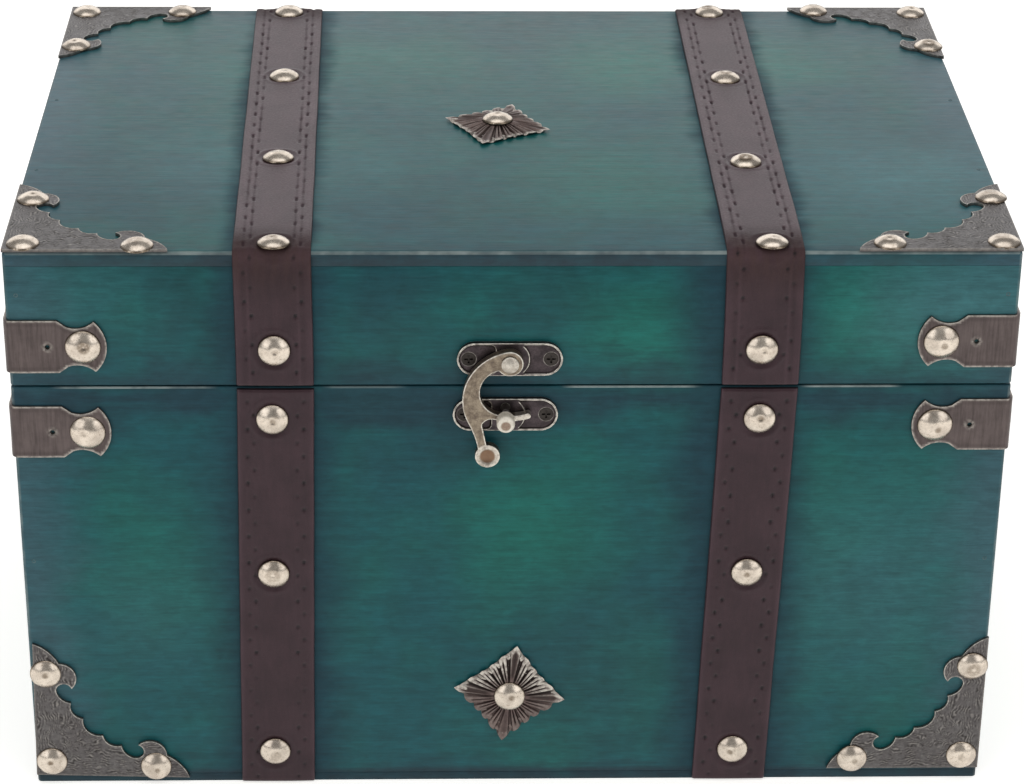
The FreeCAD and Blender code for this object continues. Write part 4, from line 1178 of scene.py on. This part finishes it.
def wraps():
    """Plates bent round the front corners: pale rims, and a nail hole with a raised burr in each leg."""
    metal = pressed_metal("wrap_metal", *WRAP_METAL, UPRIGHT_BRUSH, 0.8)
    for node in [n for n in nodes if n.endswith(("_wrap_left", "_wrap_right"))]:
        low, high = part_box(node)
        piece = merged_copy(node, node.replace("_wrap", "_brushed_wrap"))
        diced(piece, WRAP_CELL, (0, 1, 2))
        side = -1 if node.endswith("left") else 1
        outer = low.x if side < 0 else high.x
        middle = (low.z + high.z) / 2
        holes = (Vector((outer - side * (WRAP_T + WRAP_HOLE_IN), low.y, middle)),
                 Vector((outer, low.y + WRAP_T + WRAP_HOLE_IN, middle)))

        def on_rim(p, outer=outer, front=low.y, holes=holes):
            skin = abs(p.x - outer) < 0.1 * MM or abs(p.y - front) < 0.1 * MM
            return skin and all((p - hole).length > 3 * WRAP_HOLE_R for hole in holes)
        rim = edge_points(piece, on_rim)
        worn = []
        groove = []
        moves = []
        for vert in piece.data.vertices:
            gap = rim.find(vert.co)[2]
            ring = min((vert.co - hole).length for hole in holes)
            burr = bump(ring - 1.0 * MM, 0.3 * MM) if ring < 2 * MM else 0.0
            worn.append(max(0.7 * (1 - fade(0.1 * MM, 0.55 * MM, gap)), 0.45 * burr))
            # The nail holes are painted dark as shade
            groove.append(max(0.35 * bump(gap - 1.0 * MM, 0.45 * MM), 1.0 if ring < 0.8 * MM else 0.0))
            swell = WRAP_BURR * burr + WRAP_SWELL * max(noise.noise(vert.co * 160), 0.0)
            moves.append(vert.normal * swell)
        for vert, move in zip(piece.data.vertices, moves):
            vert.co += move
        painted(piece, worn=worn, groove=groove)
        smooth(piece, 50)
        stands_for(piece, node, metal)


def star_plate(half_bright):
    """A star at the origin: rings drawn in from a round disc, then pushed into leaves out to its points.

    half_bright: the leaves of its upper half are worn and painted bright, as if lit from above, or else only
    its rim is worn bright."""
    bpy.ops.object.select_all(action="DESELECT")
    bpy.ops.mesh.primitive_circle_add(vertices=STAR_LOBES * STAR_STEPS, radius=STAR_R, fill_type="NGON")
    piece = started("star_plate")
    editing(piece, True)
    bpy.ops.mesh.select_all(action="SELECT")
    for ring in range(STAR_RINGS, 1, -1):
        bpy.ops.mesh.extrude_region_move()
        bpy.ops.transform.resize(value=((ring - 1) / ring, (ring - 1) / ring, 1.0))
    pick(piece, "EDGE", lambda edge: edge.is_boundary)
    bpy.ops.mesh.extrude_region_move(TRANSFORM_OT_translate={"value": (0, 0, -STAR_RIM)})
    bpy.ops.mesh.edge_face_add()
    editing(piece, False)
    groove = []
    worn = []
    for vert in piece.data.vertices:
        share = min(math.hypot(vert.co.x, vert.co.y) / STAR_R, 1.0)
        angle = math.atan2(vert.co.y, vert.co.x)
        turns = STAR_LOBES * angle / (2 * math.pi)
        across = abs(turns - round(turns)) * 2
        main = round(turns) % (STAR_LOBES // 4) == 0
        diamond = STAR_R / (abs(math.cos(angle)) + abs(math.sin(angle)))
        waist = 1 - STAR_WAIST * math.sin(2 * angle) ** 2
        reach = share * diamond * waist * (1 - (1 - STAR_NOTCH) * across ** 1.6)
        vert.co.x = reach * math.cos(angle)
        vert.co.y = reach * math.sin(angle)
        if vert.co.z < -STAR_RIM / 2:
            vert.co.z = 0.0
            groove.append(0.6)
            worn.append(0.0)
            continue
        # The upper half painted brighter, with deeper groove colour, as if lit from above, over a little wear
        # all round
        rubbed = 0.12 + 0.88 * fade(-0.3, 0.12, math.sin(angle)) if half_bright else 0.12
        gully = fade(0.5, 0.9, across)
        vein = bump(across, 0.5 if main else 0.16) * fade(0.3, 0.45, share) * fade(0.95, 0.82, share)
        leaf = (1 - gully) * (1 - (0.9 if main else 0.65) * vein)
        flute = (leaf - 0.5) * fade(0.24, 0.5, share)
        crown = STAR_RIM + (STAR_RISE - STAR_RIM) * (1 - share ** 1.6)
        vert.co.z = crown + STAR_FLUTE * flute
        groove.append((0.4 + 0.6 * rubbed) * (1 - leaf) * fade(0.24, 0.4, share))
        tip = max(0.5 * rubbed if half_bright else 0.9, 0.85 * main * rubbed) * fade(0.88, 0.98, share)
        worn.append(max(rubbed * fade(0.5, 0.95, leaf) * fade(0.35, 0.75, share), tip))
    painted(piece, groove=groove, worn=worn)
    editing(piece, True)
    bpy.ops.mesh.select_all(action="SELECT")
    bpy.ops.mesh.normals_make_consistent(inside=False)
    editing(piece, False)
    smooth(piece, 60)
    return piece


def stars():
    metal = pressed_metal("star_metal", *STAR_METAL, EVEN_BRUSH, 0.9)
    for node, turn in STAR_TURN.items():
        low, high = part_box(node)
        seat = stud_places(node.replace("_plate", "_stud"))[0][0]
        stand = Matrix.Identity(4)
        if node.startswith("front"):
            seat.y = high.y
            stand = Matrix.Rotation(math.radians(90), 4, "X")
        else:
            seat.z = low.z
        piece = star_plate(node.startswith("front"))
        piece.name = piece.data.name = node.replace("_plate", "_leaf_plate")
        piece.data.transform(Matrix.Translation(seat) @ stand @ Matrix.Rotation(turn, 4, "Z"))
        stands_for(piece, node, metal)


# Latch and hinges

def cast_copy(node, name, voxel, rounds):
    """A copy of a node with its edges softened as on a casting, and the bend of its skin at each vertex."""
    piece = merged_copy(node, name)
    remesh = piece.modifiers.new("even skin", "REMESH")
    remesh.mode = "VOXEL"
    remesh.voxel_size = voxel
    soften = piece.modifiers.new("soften", "SMOOTH")
    soften.factor = 0.5
    soften.iterations = rounds
    only(piece)
    for modifier in (remesh.name, soften.name):
        bpy.ops.object.modifier_apply(modifier=modifier)
    mesh = bmesh.new()
    mesh.from_mesh(piece.data)
    mesh.normal_update()
    beside = [[edge.other_vert(vert).index for edge in vert.link_edges] for vert in mesh.verts]
    bend = []
    for vert in mesh.verts:
        ways = [vert.co - edge.other_vert(vert).co for edge in vert.link_edges]
        bend.append(sum(way.normalized().dot(vert.normal) for way in ways) / max(len(ways), 1))
    for _ in range(3):
        bend = [0.5 * own + 0.5 * sum(bend[i] for i in near) / max(len(near), 1)
                for own, near in zip(bend, beside)]
    mesh.free()
    painted(piece, worn=[fade(0.02, 0.1, b) for b in bend], groove=[fade(0.02, 0.1, -b) for b in bend])
    only(piece)
    bpy.ops.object.shade_smooth()
    return piece


def latch():
    plate_bronze = latch_bronze("latch_plate_bronze", *LATCH_PLATE_BRONZE, 0.9)
    metals = {
        "latch_hook": latch_bronze("hook_bronze", *HOOK_BRONZE, 0.9),
        "latch_plate": plate_bronze,
        "catch_plate": plate_bronze,
        "latch_rivet": latch_bronze("latch_rivet_metal", *RIVET_METAL, 0.6),
        "catch_post": latch_bronze("post_bronze", *POST_BRONZE, 0.15),
    }
    pivot = (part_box("latch_rivet")[0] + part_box("latch_rivet")[1]) / 2
    knob_low, knob_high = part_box("catch_post")
    hollows = {
        "latch_hook": (pivot + BALL_FROM_PIVOT, BALL_DISH_R),
        "catch_post": (Vector(((knob_low.x + knob_high.x) / 2, 0, knob_low.z + POST_DISH_UP)), POST_DISH_R),
    }
    for node, metal in metals.items():
        piece = cast_copy(node, node.replace("latch_", "latch_cast_").replace("catch_", "catch_cast_"),
                          CAST_VOXEL, CAST_ROUNDS)
        patina = [0.0] * len(piece.data.vertices)
        worn = piece.data.attributes["worn"].data
        groove = piece.data.attributes["groove"].data
        for index, vert in enumerate(piece.data.vertices):
            # The neck behind the post's head is painted shadow, in the dirt colour, with no wear
            if node == "catch_post" and vert.co.y > knob_low.y + POST_HEAD:
                groove[index].value = 1.0
                worn[index].value = 0.0
            # The claw past the post is painted paler: a highlight over its wear
            elif node == "latch_hook" and vert.co.x > knob_high.x and vert.co.z < knob_high.z:
                worn[index].value = max(worn[index].value, 0.6)
        if node in hollows:
            at, reach = hollows[node]
            for index, vert in enumerate(piece.data.vertices):
                gap = math.hypot(vert.co.x - at.x, vert.co.z - at.z)
                if vert.normal.y < -0.6:
                    patina[index] = 0.9 * fade(reach, 0.7 * reach, gap)
                    pale = fade(0.75 * reach, reach, gap) * fade(1.6 * reach, 1.4 * reach, gap)
                    worn[index].value = max(worn[index].value * (1 - patina[index]), 0.6 * pale)
        painted(piece, patina=patina)
        stands_for(piece, node, metal)


def hinges():
    steel = dark_steel("hinge_steel", HINGE_TONE)
    black = dark_steel("screw_steel", SCREW_TONE)
    for node in [n for n in nodes if "_leaf_" in n]:
        piece = cast_copy(node, node.replace("_leaf", "_rolled_leaf"), HINGE_VOXEL, HINGE_ROUNDS)
        stands_for(piece, node, steel)
    for node in nodes:
        if node.endswith(("_screws", "_pins")):
            nodes[node].data.materials.clear()
            nodes[node].data.materials.append(steel if node.endswith("_pins") else black)


# Stage

def camera():
    sin_p, cos_p = math.sin(CAMERA_PITCH), math.cos(CAMERA_PITCH)
    sin_y, cos_y = math.sin(CAMERA_YAW), math.cos(CAMERA_YAW)
    ahead = Vector((sin_y * cos_p, cos_y * cos_p, -sin_p))
    level = Vector((cos_y, -sin_y, 0))
    up = level.cross(ahead)
    right = level * math.cos(CAMERA_ROLL) + up * math.sin(CAMERA_ROLL)
    up = up * math.cos(CAMERA_ROLL) - level * math.sin(CAMERA_ROLL)
    data = bpy.data.cameras.new("photo_view")
    data.lens = CAMERA_LENS
    data.sensor_fit = "HORIZONTAL"
    data.sensor_width = SENSOR_WIDTH
    data.clip_start = 0.01
    taker = bpy.data.objects.new("photo_view", data)
    bpy.context.scene.collection.objects.link(taker)
    taker.matrix_world = Matrix.Translation(CAMERA_AT) @ Matrix((right, up, -ahead)).transposed().to_4x4()
    bpy.context.scene.camera = taker


def softbox(name, at, aim, size, brightness):
    """A rectangle of even light; brightness is what it looks like in a mirror."""
    data = bpy.data.lights.new(name, "AREA")
    data.shape = "RECTANGLE"
    data.size, data.size_y = size
    data.energy = brightness * math.pi * size[0] * size[1]
    lamp = bpy.data.objects.new(name, data)
    bpy.context.scene.collection.objects.link(lamp)
    lamp.location = at
    lamp.rotation_euler = (Vector(aim) - Vector(at)).to_track_quat("-Z", "Y").to_euler()
    lamp.visible_camera = False


def studio():
    bpy.ops.object.select_all(action="DESELECT")
    bpy.ops.mesh.primitive_plane_add(size=FLOOR_SIZE, location=(0, 0, 0))
    floor = started("floor")
    f = Finish("pale_floor", Roughness=0.9, Base_Color=FLOOR_COLOUR, Emission_Color=FLOOR_GLOW_COLOUR,
               Emission_Strength=FLOOR_GLOW, Specular_IOR_Level=0.1)
    floor.data.materials.append(f.material)
    world = bpy.data.worlds.new("studio")
    world.use_nodes = True
    tree = world.node_tree
    backdrop = tree.nodes["Background"]
    backdrop.inputs["Color"].default_value = (1.0, 1.0, 1.0, 1.0)
    seen = tree.nodes.new("ShaderNodeMapRange")
    seen.inputs["To Min"].default_value = ROOM_LIGHT
    tree.links.new(tree.nodes.new("ShaderNodeLightPath").outputs["Is Camera Ray"], seen.inputs["Value"])
    tree.links.new(seen.outputs["Result"], backdrop.inputs["Strength"])
    bpy.context.scene.world = world
    for lamp in LAMPS:
        softbox(*lamp)
    bpy.context.scene.view_settings.view_transform = "Standard"


camera()
boards()
brads()
straps()
studs()
corner_plates()
wraps()
stars()
latch()
hinges()
studio()
